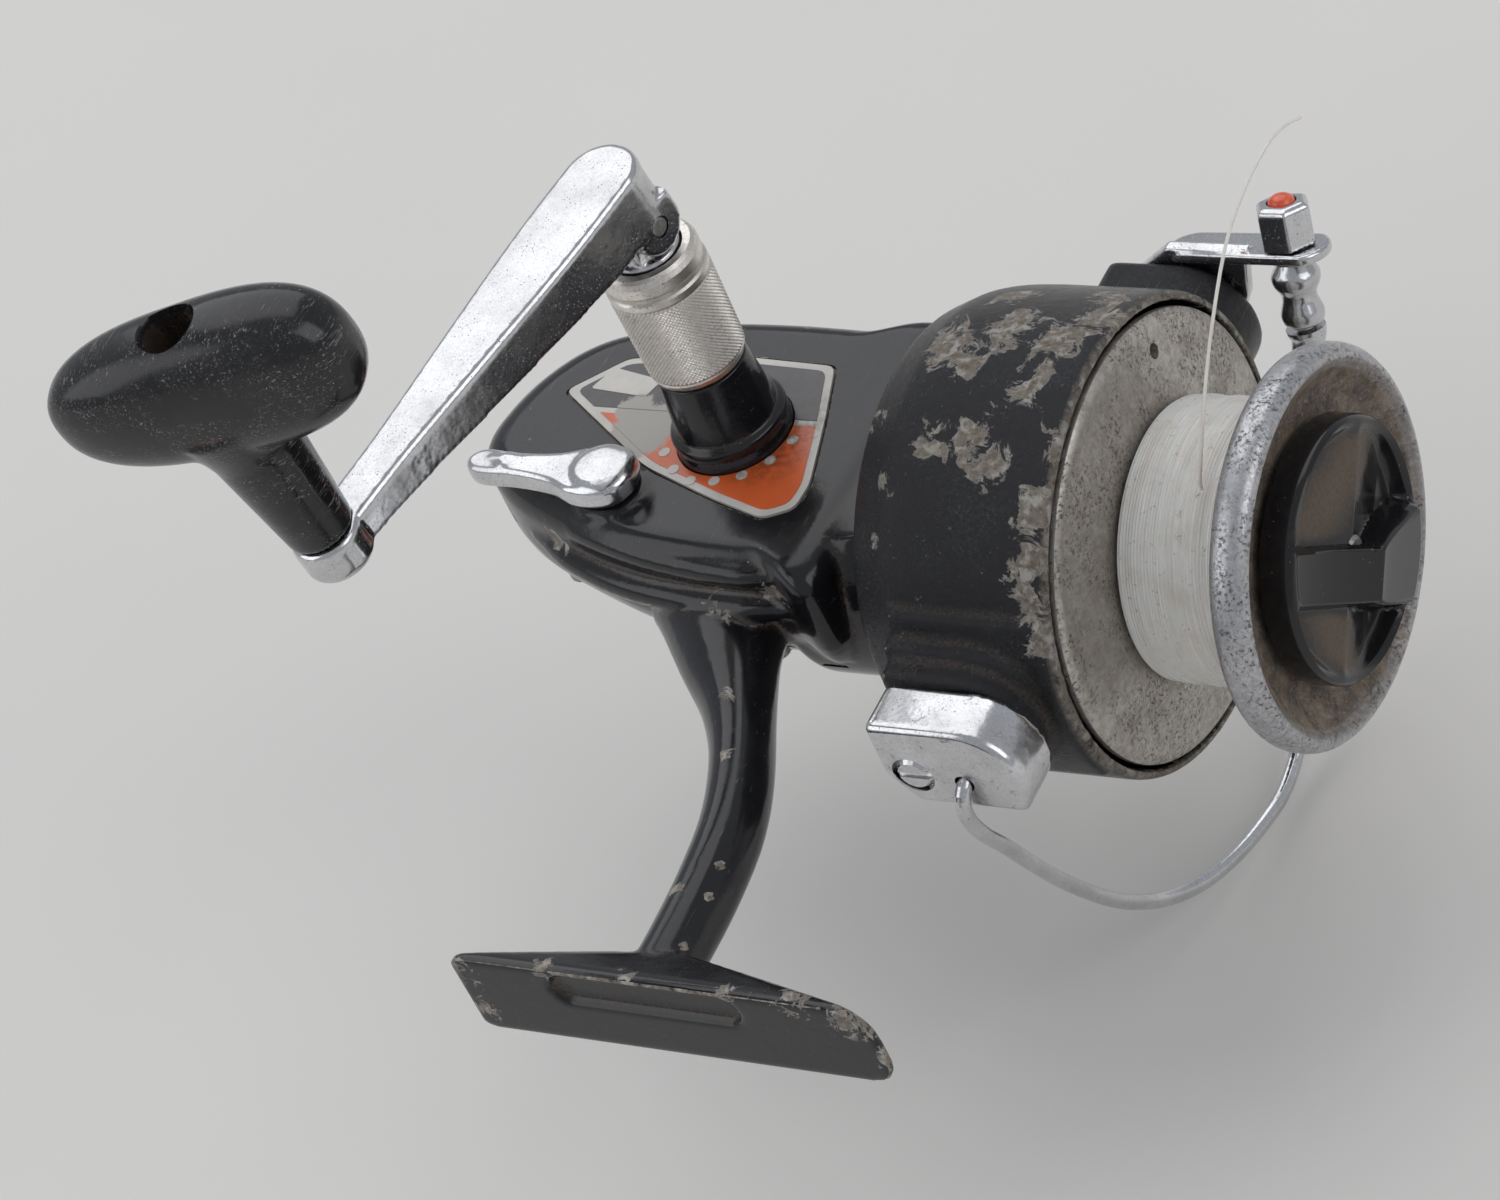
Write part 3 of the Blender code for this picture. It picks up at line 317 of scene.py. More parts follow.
def finished(name, bm, finish, body, *nodes, slot=None, angle=35):
    """The piece itself: its shape in the part's frame, its finish, its body, and the CAD nodes that it stands for."""
    bmesh.ops.remove_doubles(bm, verts=bm.verts, dist=1e-4)
    bmesh.ops.recalc_face_normals(bm, faces=bm.faces)
    bmesh.ops.translate(bm, vec=SPOOL_AXIS, verts=bm.verts)
    bmesh.ops.scale(bm, vec=(MM,) * 3, verts=bm.verts)
    mesh = bpy.data.meshes.new(name)
    bm.to_mesh(mesh)
    bm.free()
    mesh.shade_smooth()
    mesh.set_sharp_from_angle(angle=math.radians(angle))
    mesh.materials.append(finish)
    made = bpy.data.objects.new(name, mesh)
    bpy.context.scene.collection.objects.link(made)
    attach(made, body)
    if nodes:
        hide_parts(*nodes)
    return made


# Finishes ------------------------------------------------------------------------------------------------

class Finish:
    """A material whose patterns are measured in millimetres about the spool axis."""

    def __init__(self, name, **sockets):
        self.material = bpy.data.materials.new(name)
        self.material.use_nodes = True
        self.tree = self.material.node_tree
        self.shader = self.tree.nodes["Principled BSDF"]
        for socket, value in sockets.items():
            self.shader.inputs[socket.replace("_", " ")].default_value = value
        coordinates = self.node("TexCoord")
        place = self.node("Mapping", {0: coordinates.outputs["Object"]})
        place.inputs["Location"].default_value = -SPOOL_AXIS
        place.inputs["Scale"].default_value = (1 / MM,) * 3
        self.place = place.outputs[0]
        self.normal = None

    def node(self, kind, inputs=(), **settings):
        made = self.tree.nodes.new("ShaderNode" + kind)
        for setting, value in settings.items():
            setattr(made, setting, value)
        for socket, value in dict(inputs).items():
            if isinstance(value, bpy.types.NodeSocket):
                self.tree.links.new(value, made.inputs[socket])
            else:
                made.inputs[socket].default_value = value
        return made

    def moved(self, scale, turn=(0, 0, 0)):
        """Coordinates stretched and turned, for patterns that run one way."""
        return self.node("Mapping", {0: self.place, "Scale": scale, "Rotation": turn}).outputs[0]

    def noise(self, scale, detail=4.0, rough=0.6, twist=0.0, where=None):
        return self.node("TexNoise", {"Vector": where or self.place, "Scale": scale, "Detail": detail,
                                      "Roughness": rough, "Distortion": twist}).outputs["Fac"]

    def cells(self, scale):
        return self.node("TexVoronoi", {"Vector": self.place, "Scale": scale}).outputs["Distance"]

    def ramp(self, value, low, high, to_low=0.0, to_high=1.0):
        """Follows value from low to high, and stays level outside them."""
        made = self.node("MapRange", {0: value, 1: low, 2: high, 3: to_low, 4: to_high}, clamp=True)
        return made.outputs[0]

    def math(self, operation, first, second=0.0):
        return self.node("Math", {0: first, 1: second}, operation=operation).outputs[0]

    def times(self, first, second):
        return self.math("MULTIPLY", first, second)

    def plus(self, first, second):
        return self.math("ADD", first, second)

    def most(self, *values):
        found = values[0]
        for value in values[1:]:
            found = self.math("MAXIMUM", found, value)
        return found

    def blend(self, factor, first, second):
        made = self.node("Mix", {0: factor, 6: first, 7: second}, data_type="RGBA")
        return made.outputs[2]

    def axis(self, index):
        return self.node("SeparateXYZ", {0: self.place}).outputs[index]

    def near(self, spots):
        """1 at the middle of each (x, y, z, radius) spot, 0 from its radius on."""
        found = []
        for x, y, z, radius in spots:
            away = self.node("VectorMath", {0: self.place, 1: (x, y, z)}, operation="DISTANCE").outputs["Value"]
            found.append(self.ramp(away, 0.0, radius, 1.0, 0.0))
        return self.most(*found)

    def corners(self, low, high):
        """Follows how far a corner stands out of the surface: flat is 0.5, a hollow less."""
        return self.ramp(self.node("NewGeometry").outputs["Pointiness"], low, high)

    def scratches(self, angle, scale=0.5, low=0.66, high=0.72):
        """Thin lines in one direction."""
        lines = self.noise(1.0, 3.0, 0.7, 0.3, self.moved((scale * 5, scale * 0.22, scale * 5), (0, 0.3, angle)))
        return self.ramp(lines, low, high)

    def relief(self, height, depth):
        """Raises the surface by depth millimetres where height is 1."""
        inputs = {"Height": height, "Distance": depth * MM, "Strength": 1.0}
        if self.normal:
            inputs["Normal"] = self.normal
        self.normal = self.node("Bump", inputs).outputs[0]

    def done(self, colour=None, roughness=None, metallic=None):
        for socket, value in (("Base Color", colour), ("Roughness", roughness), ("Metallic", metallic),
                              ("Normal", self.normal)):
            if value is not None:
                self.tree.links.new(value, self.shader.inputs[socket])
        return self.material


def known(name, make, *given):
    """The finish of that name, made the first time that it's asked for."""
    return bpy.data.materials.get(name) or make(name, *given)


# Flaked patches of enamel: x, y, z, radius.
ROTOR_CHIPS = [(9.0, 1.5, 30.0, 7.5), (16.0, 4.6, 29.6, 8.5), (22.5, 3.4, 29.8, 8.0), (26.5, 8.0, 28.9, 8.0),
               (23.0, -3.6, 29.7, 5.5), (13.0, -2.2, 29.8, 4.5), (12.3, -12.8, 27.1, 5.0), (17.0, -11.2, 27.8, 6.5),
               (20.4, -14.6, 26.2, 5.0), (28.0, -19.0, 23.2, 6.0), (27.0, -23.0, 19.0, 5.5), (27.2, -26.0, 15.0, 5.5),
               (28.6, -28.0, 11.0, 4.5), (29.0, -12.0, 27.5, 4.5), (24.0, 14.0, 26.5, 6.0), (12.0, 13.0, 27.0, 5.5),
               (5.0, -17.0, 24.8, 3.4), (4.6, -22.0, 20.0, 4.0), (2.0, -8.0, 25.0, 3.6), (15.0, 20.0, -22.0, 8.0),
               (9.0, -18.0, -24.0, 7.0), (22.0, -5.0, -29.6, 9.0), (20.0, 27.0, -13.0, 8.0)]
BODY_CHIPS = [(-31.0, -82.0, 4.0, 6.0), (-30.0, -81.5, -3.0, 5.0), (24.5, -81.3, 4.6, 6.0), (17.5, -80.6, 6.3, 5.0),
              (27.0, -82.0, -2.0, 4.0), (8.0, -81.0, 6.3, 3.2), (-6.0, -81.0, 6.3, 3.0), (-18.0, -81.2, 6.3, 3.2),
              (-15.0, -36.0, 5.5, 3.2), (-10.5, -45.0, 4.8, 2.4), (-8.0, -66.0, 4.2, 2.6), (-62.0, -9.5, 6.0, 5.0),
              (-50.0, -15.5, 8.0, 4.5), (-38.0, -19.0, 4.0, 3.5), (-14.0, -21.5, 8.0, 4.0), (-22.0, -23.0, 5.0, 4.5),
              (-27.0, 21.0, 12.0, 3.6), (-52.0, 18.0, 4.0, 4.5), (-10.0, 20.0, 6.0, 4.0), (-66.0, 0.0, 4.0, 4.0)]


def enamel(name, chips, flake, worn_low, worn_high, weather=0.0):
    """Glossy black enamel: dust laid on in a blue-grey that also paints a sheen, fine scratches, bare corners, and
    flaked patches where chips are given.
    """
    f = Finish(name, Specular_IOR_Level=0.5 - 0.12 * weather)
    tone = colours()
    cloud = f.noise(0.09, 5.0, 0.6)
    grain = f.noise(2.2, 4.0, 0.65)
    fine = f.noise(9.0, 3.0, 0.7)
    patchy = f.noise(0.62, 6.0, 0.68, 0.4)
    worn = f.ramp(f.plus(f.times(f.corners(worn_low, worn_high), 0.75), f.times(patchy, 0.7)), 1.01, 1.07)
    ragged = f.ramp(f.noise(0.24 + 0.3 * (1.0 - weather), 8.0, 0.70, 0.9), 0.30, 0.70)
    edge = f.plus(f.times(f.near(chips), 0.46), f.times(ragged, 0.54))
    bare = f.most(f.ramp(edge, flake, flake + 0.012), worn)
    rim = f.times(f.ramp(edge, flake - 0.025, flake), f.ramp(edge, flake + 0.045, flake + 0.01))
    if weather:
        lip = f.times(f.ramp(f.axis(0), 28.2, 28.9), f.ramp(f.noise(0.5, 6.0, 0.7), 0.36, 0.52))
        bare = f.most(bare, f.times(lip, 0.85))
    dusty = f.times(f.corners(0.5, 0.46), f.ramp(grain, 0.35, 0.7))
    # Mask for the dust patches; the blue-grey they are coloured below is dust and a painted sheen together.
    dust = f.times(f.ramp(cloud, 0.48, 0.72), f.ramp(grain, 0.45, 0.75))
    scuffs = f.most(f.scratches(0.5), f.scratches(-0.9, 0.7, 0.68, 0.74))
    flecks = f.times(f.ramp(f.noise(1.5, 4.0, 0.7), 0.66, 0.70), f.ramp(cloud, 0.60 - 0.12 * weather, 0.7))
    metal = f.blend(f.ramp(f.noise(1.1, 5.0, 0.7), 0.35, 0.65), tuple(tone.bare_metal),
                    (0.15, 0.115, 0.085, 1.0))
    metal = f.blend(f.ramp(f.noise(0.7, 4.0, 0.6, 0.5), 0.5, 0.62), metal, (0.43, 0.41, 0.37, 1.0))
    # Dust patches in blue-grey: dust together with a painted blue-grey sheen on the enamel, stronger with weather.
    colour = f.blend(f.times(dust, 0.12 + 0.2 * weather), tuple(tone.paint), (0.15, 0.165, 0.20, 1.0))
    colour = f.blend(f.times(dusty, 0.65), colour, tuple(tone.dirt))
    colour = f.blend(f.times(scuffs, 0.35), colour, (0.25, 0.24, 0.23, 1.0))
    colour = f.blend(flecks, colour, (0.48, 0.44, 0.38, 1.0))
    colour = f.blend(bare, colour, metal)
    colour = f.blend(f.times(rim, 0.55), colour, (0.50, 0.48, 0.45, 1.0))
    rough = f.plus(f.ramp(cloud, 0.35, 0.7, 0.10 + 0.06 * weather, 0.24 + 0.08 * weather), f.times(dusty, 0.35))
    rough = f.plus(rough, f.times(scuffs, 0.15))
    rough = f.most(rough, f.ramp(bare, 0.0, 1.0, 0.0, 0.62))
    f.relief(f.plus(f.times(f.noise(0.55, 2.0), 0.5), f.times(fine, 0.05 + 0.15 * weather)), 0.06)
    if weather:
        f.relief(f.ramp(f.noise(0.95, 7.0, 0.76), 0.3, 0.75), 0.16 * weather)
    f.relief(f.math("SUBTRACT", f.times(grain, f.times(bare, 0.5)), bare), 0.12)
    return f.done(colour, rough, f.ramp(bare, 0.0, 1.0, 0.0, 0.35))


def chromed(name, rust):
    """Chrome plate with pits, smears and brown spots."""
    f = Finish(name, Metallic=1.0)
    cloud = f.noise(0.16, 5.0, 0.6)
    grain = f.noise(3.0, 4.0, 0.7)
    pits = f.times(f.ramp(f.cells(1.9), 0.16, 0.07), f.ramp(f.noise(0.35, 4.0), 0.42, 0.6))
    fine_pits = f.times(f.ramp(f.cells(4.6), 0.2, 0.1), f.ramp(f.noise(0.5, 4.0), 0.45, 0.62))
    bleed = f.times(f.ramp(f.noise(0.5, 7.0, 0.72, 0.5), rust, rust + 0.10), 0.85)
    crevice = f.corners(0.49, 0.44)
    hair = f.scratches(0.8, 0.8, 0.6, 0.75)
    colour = f.blend(f.ramp(cloud, 0.35, 0.7), (0.72, 0.73, 0.75, 1.0), (0.56, 0.56, 0.57, 1.0))
    colour = f.blend(f.times(f.ramp(grain, 0.45, 0.7), 0.35), colour, (0.35, 0.34, 0.33, 1.0))
    colour = f.blend(f.most(pits, f.times(fine_pits, 0.8)), colour, (0.05, 0.04, 0.032, 1.0))
    colour = f.blend(f.times(bleed, 0.8), colour, (0.20, 0.095, 0.042, 1.0))
    colour = f.blend(f.times(crevice, 0.6), colour, (0.10, 0.07, 0.045, 1.0))
    rough = f.plus(f.ramp(cloud, 0.3, 0.75, 0.10, 0.27), f.times(hair, 0.12))
    rough = f.most(rough, f.most(f.times(bleed, 0.7), f.times(pits, 0.8)))
    f.relief(f.math("SUBTRACT", 1.0, f.most(pits, f.times(fine_pits, 0.6))), 0.05)
    f.relief(f.plus(f.noise(0.4, 2.0), f.times(grain, 0.05)), 0.05)
    return f.done(colour, rough, f.ramp(bleed, 0.2, 0.8, 1.0, 0.35))


def weathered(name, bright, dull, grime, grime_low, polish=0.32):
    """Bare metal gone dull: grime in patches, dark specks and fine turning marks."""
    f = Finish(name, Metallic=1.0)
    tone = colours()
    cloud = f.noise(0.14, 6.0, 0.65)
    grain = f.noise(1.6, 6.0, 0.72)
    specks = f.times(f.ramp(f.noise(3.1, 5.0, 0.75), 0.55, 0.64), f.ramp(f.noise(0.3, 3.0), 0.38, 0.58))
    spots = f.ramp(f.cells(2.4), 0.13, 0.05)
    dirty = f.ramp(f.plus(f.times(cloud, 0.7), f.times(grain, 0.3)), grime_low, grime_low + 0.14)
    crevice = f.corners(0.495, 0.45)
    colour = f.blend(f.ramp(grain, 0.35, 0.65), bright, dull)
    colour = f.blend(f.times(f.most(specks, f.times(spots, 0.6)), 0.75), colour, (0.07, 0.065, 0.06, 1.0))
    colour = f.blend(f.times(dirty, grime), colour, tuple(tone.dirt))
    colour = f.blend(f.times(crevice, 0.6), colour, (0.06, 0.045, 0.03, 1.0))
    rough = f.plus(f.ramp(grain, 0.3, 0.7, polish, polish + 0.16), f.times(dirty, 0.3))
    f.relief(f.plus(f.times(grain, 0.6), f.times(f.noise(6.0, 3.0, 0.7), 0.4)), 0.05)
    return f.done(colour, rough, f.ramp(f.times(dirty, grime), 0.0, 0.8, 1.0, 0.25))


def spool_metal(name):
    """Cast spool: bright speckled rim, brown dried grime on both faces, and in the dish round the drag knob a dark
    brown that is grime and painted shade together.
    """
    f = Finish(name)
    x, y, z = f.axis(0), f.axis(1), f.axis(2)
    radius = f.math("SQRT", f.plus(f.times(y, y), f.times(z, z)))
    cloud = f.noise(0.13, 6.0, 0.66)
    grain = f.noise(1.4, 7.0, 0.74)
    spin = f.noise(1.0, 3.0, 0.6, 0.0, f.moved((3.0, 0.25, 0.25)))
    # front and the next mask both cover the dish round the drag knob: dried grime there, together with painted shade of
    # the gap between flange and knob.
    front = f.times(f.ramp(x, 49.0, 50.2), f.ramp(radius, 23.4, 22.4))
    grimy_shaded_well = f.times(f.ramp(x, 41.0, 42.0), f.ramp(radius, 22.9, 21.6))
    rear = f.times(f.ramp(x, 33.0, 29.0), f.ramp(radius, 27.6, 23.0, 0.35, 1.0))
    # Brown grime on both faces, and in the dish round the knob grime with painted shade.
    grime = f.most(grimy_shaded_well, f.times(rear, f.ramp(cloud, 0.46, 0.70, 0.12, 0.9)), f.times(front, 0.7))
    grime = f.times(grime, f.ramp(grain, 0.25, 0.5, 0.45, 1.0))
    specks = f.times(f.ramp(f.noise(1.9, 7.0, 0.8), 0.53, 0.58), f.ramp(f.noise(0.22, 5.0, 0.7), 0.42, 0.54))
    pits = f.times(f.ramp(f.cells(1.5), 0.13, 0.05), f.ramp(f.noise(0.5), 0.42, 0.55))
    brown = f.blend(f.ramp(f.noise(0.35, 7.0, 0.72), 0.38, 0.62), (0.055, 0.037, 0.025, 1.0), (0.25, 0.185, 0.12, 1.0))
    brown = f.blend(f.ramp(f.noise(2.6, 5.0, 0.75), 0.58, 0.68), brown, (0.42, 0.35, 0.25, 1.0))
    colour = f.blend(f.ramp(grain, 0.38, 0.62), (0.58, 0.58, 0.60, 1.0), (0.40, 0.40, 0.41, 1.0))
    tarnish = f.blend(f.ramp(f.noise(0.7, 6.0, 0.7), 0.4, 0.62), (0.62, 0.59, 0.54, 1.0), (0.44, 0.40, 0.35, 1.0))
    colour = f.blend(f.times(f.ramp(x, 34.0, 31.0), 0.8), colour, tarnish)
    colour = f.blend(f.times(f.most(specks, pits), 0.8), colour, (0.06, 0.055, 0.05, 1.0))
    colour = f.blend(f.times(grime, 0.92), colour, brown)
    rough = f.plus(f.ramp(grain, 0.3, 0.7, 0.26, 0.42), f.times(grime, 0.38))
    f.relief(f.plus(f.times(spin, 0.5), f.times(grain, 0.6)), 0.05)
    f.relief(f.math("SUBTRACT", 1.0, f.times(f.most(specks, pits), 0.7)), 0.05)
    return f.done(colour, rough, f.ramp(grime, 0.1, 0.9, 0.88, 0.1))


def moulded(name):
    """Black moulded plastic: a scuffed shine, pale scratches, dust in the corners."""
    f = Finish(name, Specular_IOR_Level=0.5)
    tone = colours()
    cloud = f.noise(0.12, 5.0, 0.6)
    grain = f.noise(2.4, 5.0, 0.7)
    scuffs = f.most(f.scratches(0.35, 0.45, 0.60, 0.66), f.scratches(1.35, 0.6, 0.62, 0.68),
                    f.scratches(-0.6, 0.9, 0.62, 0.70))
    scuffs = f.times(scuffs, f.ramp(f.noise(0.16, 3.0), 0.42, 0.62))
    specks = f.times(f.ramp(f.cells(0.9), 0.09, 0.05), f.ramp(f.noise(0.25), 0.48, 0.6))
    hollow = f.corners(0.50, 0.455)
    film = f.times(f.ramp(cloud, 0.45, 0.7), f.ramp(grain, 0.35, 0.75))
    colour = f.blend(f.times(film, 0.10), tuple(tone.plastic), (0.25, 0.24, 0.24, 1.0))
    colour = f.blend(f.times(f.times(hollow, f.ramp(grain, 0.3, 0.6)), 0.85), colour, tuple(tone.dirt))
    colour = f.blend(f.times(scuffs, 0.75), colour, (0.34, 0.34, 0.35, 1.0))
    colour = f.blend(specks, colour, (0.42, 0.38, 0.33, 1.0))
    rough = f.plus(f.ramp(cloud, 0.35, 0.7, 0.12, 0.26), f.times(scuffs, 0.25))
    rough = f.plus(rough, f.times(hollow, 0.3))
    f.relief(f.plus(f.times(f.noise(0.5, 2.0), 0.5), f.times(grain, 0.05)), 0.05)
    f.relief(f.math("SUBTRACT", 1.0, scuffs), 0.03)
    return f.done(colour, rough)


def drag_plastic(name):
    """The drag knob's plastic, with brown dust lying in its two scoops."""
    f = Finish(name, Specular_IOR_Level=0.5)
    tone = colours()
    y, z = f.axis(1), f.axis(2)
    along = f.plus(f.times(y, math.cos(DRAG_TILT)), f.times(z, math.sin(DRAG_TILT)))
    over = f.plus(f.times(y, -math.sin(DRAG_TILT)), f.times(z, math.cos(DRAG_TILT)))
    grain = f.noise(2.2, 6.0, 0.72)
    cloud = f.noise(0.3, 5.0, 0.65)
    off = f.math("ABSOLUTE", f.plus(along, f.plus(f.times(f.math("ABSOLUTE", over), -0.84), 11.0)))
    lane = f.times(f.ramp(off, 8.5, 0.5), f.ramp(f.math("ABSOLUTE", f.plus(over, 3.3)), 3.6, 5.2))
    lane = f.times(lane, f.ramp(f.math("ABSOLUTE", over), 15.6, 13.0))
    dust = f.times(f.ramp(f.plus(f.times(lane, 0.9), f.times(cloud, 0.5)), 0.42, 1.0),
                   f.ramp(grain, 0.3, 0.6, 0.4, 1.0))
    specks = f.ramp(f.cells(1.3), 0.10, 0.05)
    specks = f.times(specks, f.ramp(f.noise(0.4), 0.5, 0.6))
    colour = f.blend(f.times(dust, 0.8), tuple(tone.plastic), (0.15, 0.108, 0.072, 1.0))
    colour = f.blend(f.times(specks, 0.8), colour, (0.45, 0.40, 0.33, 1.0))
    rough = f.plus(f.ramp(cloud, 0.35, 0.7, 0.10, 0.20), f.times(dust, 0.5))
    f.relief(f.plus(f.times(grain, 0.08), f.times(dust, f.times(grain, 0.4))), 0.05)
    return f.done(colour, rough)


def nylon(name, wound):
    """Nylon line, glossy and a little see-through, with the dirt that a used spool holds."""
    f = Finish(name, Specular_IOR_Level=0.7, Subsurface_Weight=0.25, Subsurface_Scale=0.001)
    tone = colours()
    cloud = f.noise(0.2, 5.0, 0.6)
    threads = f.noise(1.0, 4.0, 0.6, 0.2, f.moved((4.5, 0.10, 0.10), (0, 0.05, 0.05)))
    dirt = f.times(f.ramp(f.noise(0.9, 6.0, 0.75, 0.4), 0.60, 0.68), wound)
    colour = f.blend(f.ramp(threads, 0.35, 0.65), tuple(tone.line), (0.70, 0.68, 0.63, 1.0))
    colour = f.blend(f.ramp(cloud, 0.5, 0.75, 0.0, 0.4), colour, (0.52, 0.46, 0.36, 1.0))
    colour = f.blend(f.times(dirt, 0.7), colour, (0.24, 0.15, 0.08, 1.0))
    f.relief(threads, 0.06)
    return f.done(colour, f.ramp(threads, 0.3, 0.7, 0.18, 0.34))


def printed(name, ink, faded):
    """Ink on the badge: faintly mottled, with grey rubbed patches, and darker in two patches beside the tower."""
    f = Finish(name, Specular_IOR_Level=0.5, Coat_Weight=0.35, Coat_Roughness=0.22)
    cloud = f.noise(0.25, 5.0, 0.6)
    grain = f.noise(4.0, 4.0, 0.7)
    rub = f.near([(-42.0, -1.0, BADGE_TOP, 8.0), (-39.0, 1.5, BADGE_TOP, 5.5), (-45.0, 2.5, BADGE_TOP, 4.5)])
    rub = f.ramp(f.plus(f.times(rub, 0.8), f.times(f.noise(0.6, 6.0, 0.7, 0.3), 0.5)), 0.52, 0.60)
    # Two dark brown patches on the ink, beside the tower's foot.
    dark_by_tower = f.near([(-22.0, -3.0, BADGE_TOP, 7.5), (-20.5, 2.0, BADGE_TOP, 7.0)])
    dark_by_tower = f.times(f.ramp(dark_by_tower, 0.0, 0.6), f.ramp(f.noise(0.9, 5.0, 0.7), 0.35, 0.65))
    nicks = f.ramp(f.noise(1.7, 6.0, 0.75), 0.66, 0.70)
    colour = f.blend(f.ramp(cloud, 0.3, 0.7, 0.0, 0.25), ink, faded)
    colour = f.blend(f.times(dark_by_tower, 0.75), colour, (0.045, 0.028, 0.02, 1.0))
    colour = f.blend(rub, colour, (0.40, 0.375, 0.34, 1.0))
    colour = f.blend(f.times(nicks, 0.6), colour, (0.12, 0.09, 0.07, 1.0))
    f.relief(f.plus(f.times(grain, 0.5), cloud), 0.015)
    return f.done(colour, f.plus(f.ramp(grain, 0.3, 0.7, 0.28, 0.42), f.times(rub, 0.15)))


def bead_enamel(name):
    f = Finish(name, Coat_Weight=0.6, Coat_Roughness=0.1)
    cloud = f.noise(0.8, 4.0)
    nicks = f.ramp(f.noise(2.4, 5.0, 0.7), 0.64, 0.69)
    colour = f.blend(f.ramp(cloud, 0.35, 0.65), (0.72, 0.045, 0.012, 1.0), (0.85, 0.15, 0.05, 1.0))
    colour = f.blend(nicks, colour, (0.50, 0.42, 0.36, 1.0))
    f.relief(cloud, 0.05)
    return f.done(colour, f.ramp(cloud, 0.3, 0.7, 0.15, 0.32))


def woven_felt(name):
    f = Finish(name, Sheen_Weight=0.3)
    hair = f.noise(3.0, 6.0, 0.8, 0.8)
    colour = f.blend(hair, (0.10, 0.075, 0.05, 1.0), (0.34, 0.28, 0.20, 1.0))
    f.relief(hair, 0.15)
    return f.done(colour, f.ramp(hair, 0.2, 0.8, 0.8, 0.97))


def body_enamel():
    return known("body_enamel", enamel, BODY_CHIPS, 0.60, 0.512, 0.545)


def rotor_enamel():
    return known("rotor_enamel", enamel, ROTOR_CHIPS, 0.55, 0.512, 0.55, 1.0)


def chrome():
    return known("chrome_plate", chromed, 0.66)


def rusty_chrome():
    return known("rusty_chrome", chromed, 0.58)


def steel():
    return known("dull_steel", weathered, (0.42, 0.41, 0.40, 1.0), (0.26, 0.25, 0.24, 1.0), 0.7, 0.54)


def brass():
    return known("oiled_brass", weathered, (0.60, 0.43, 0.17, 1.0), (0.38, 0.26, 0.10, 1.0), 0.7, 0.55, 0.26)


def felt():
    return known("drag_felt", woven_felt)


# The pieces ----------------------------------------------------------------------------------------------

HOUSING_OUTLINE = [(-6, 20.5), (-18, 21.4), (-31, 21.7), (-43, 21.0), (-54, 18.5), (-60.5, 14.8), (-64.8, 8.6),
                   (-66.8, 1.6), (-66.6, -3.6), (-63.6, -7.8), (-57, -12.5), (-45.5, -17.2), (-36, -20),
                   (-26, -21.2), (-15, -21.4), (-6, -20.5)]
# Height, size and shift of the outline at each level.
COVER_LEVELS = [(-11.0, 0.70, 2.8), (-10.5, 0.765, 2.6), (-9.8, 0.81, 2.4), (-8.2, 0.87, 2.0), (-6.3, 0.91, 1.6)]
BODY_LEVELS = [(-6.0, 0.915, 1.5), (-4.0, 0.945, 0.9), (-2.0, 0.97, 0.4), (0.0, 0.99, 0.1), (2.0, 1.0, 0.0),
               (9.6, 1.0, 0.0), (10.8, 0.984, 0.0), (11.7, 0.96, 0.0), (12.4, 0.93, 0.0), (12.9, 0.895, 0.0),
               (13.2, 0.85, 0.0)]
SCREW_PLACES = ((-23.5, 17.8), (-50.0, 14.6), (-59.5, -4.5), (-24.5, -15.0))
BADGE_CORNERS = [(-57.2, 5.2), (-50.5, 11.6), (-35, 13.2), (-19.6, 12.4), (-16.5, 3), (-13.4, -8), (-13.6, -12.2),
                 (-17.5, -14.2), (-26, -11.6), (-37.5, -7.4), (-39.5, -6.4)]
BADGE_DOTS = [(-19.3, -0.9), (-20.8, -4.6), (-23.6, -7.5), (-27.1, -8.8), (-30.6, -9.0), (-34.0, -7.3), (-36.8, -4.5)]


def housing_outline(size=1.0, shift=0.0, steps=6):
    """The gearbox's outline in plan, shrunk about its middle and shifted towards the top."""
    loop = smooth_loop([(x, y, 0) for x, y in HOUSING_OUTLINE], steps)
    return [(GEARBOX_MIDDLE.x + (p.x - GEARBOX_MIDDLE.x) * size, p.y * size + shift) for p in loop]


def gearbox(levels):
    """The gearbox's outline drawn up through its levels."""
    bm = bmesh.new()
    face = bm.faces.new([bm.verts.new((x, y, 0)) for x, y in housing_outline()])
    return drawn(bm, face, [Matrix.Translation(GEARBOX_MIDDLE + Vector((0, shift, z)))
                            @ Matrix.Diagonal((size, size, 1, 1)) @ Matrix.Translation(-GEARBOX_MIDDLE)
                            for z, size, shift in levels])


def badge_outline(grow=0.0):
    """The badge's outline, moved out or in by a distance all round, with its corners rounded."""
    points = [Vector(p) for p in BADGE_CORNERS]
    count = len(points)
    found = []
    for i, here in enumerate(points):
        one = (here - points[i - 1]).normalized()
        two = (points[(i + 1) % count] - here).normalized()
        out = Vector((-one.y, one.x)) + Vector((-two.y, two.x))
        out = out.normalized() / max(0.5, math.sqrt((1 + one.dot(two)) / 2))
        found.append(tuple(here + out * grow))
    return rounded_corners(found, 1.2)


def rounded_corners(points, radius, steps=3):
    """A closed outline with every corner rounded."""
    found = []
    count = len(points)
    for i in range(count):
        here, back, ahead = (Vector(points[k % count]) for k in (i, i - 1, i + 1))
        one, two = back - here, ahead - here
        reach = min(radius, one.length * 0.4, two.length * 0.4)
        start, end = here + one.normalized() * reach, here + two.normalized() * reach
        found += [tuple(start.lerp(here, s / steps).lerp(here.lerp(end, s / steps), s / steps))
                  for s in range(steps + 1)]
    return found


def level_part(outline, level, below):
    """The part of an outline on one side of a level line."""
    found = []
    for a, b in zip(outline, outline[1:] + outline[:1]):
        inside_a, inside_b = ((p[1] < level) == below for p in (a, b))
        if inside_a:
            found.append(a)
        if inside_a != inside_b:
            t = (level - a[1]) / (b[1] - a[1])
            found.append((a[0] + (b[0] - a[0]) * t, level))
    return found


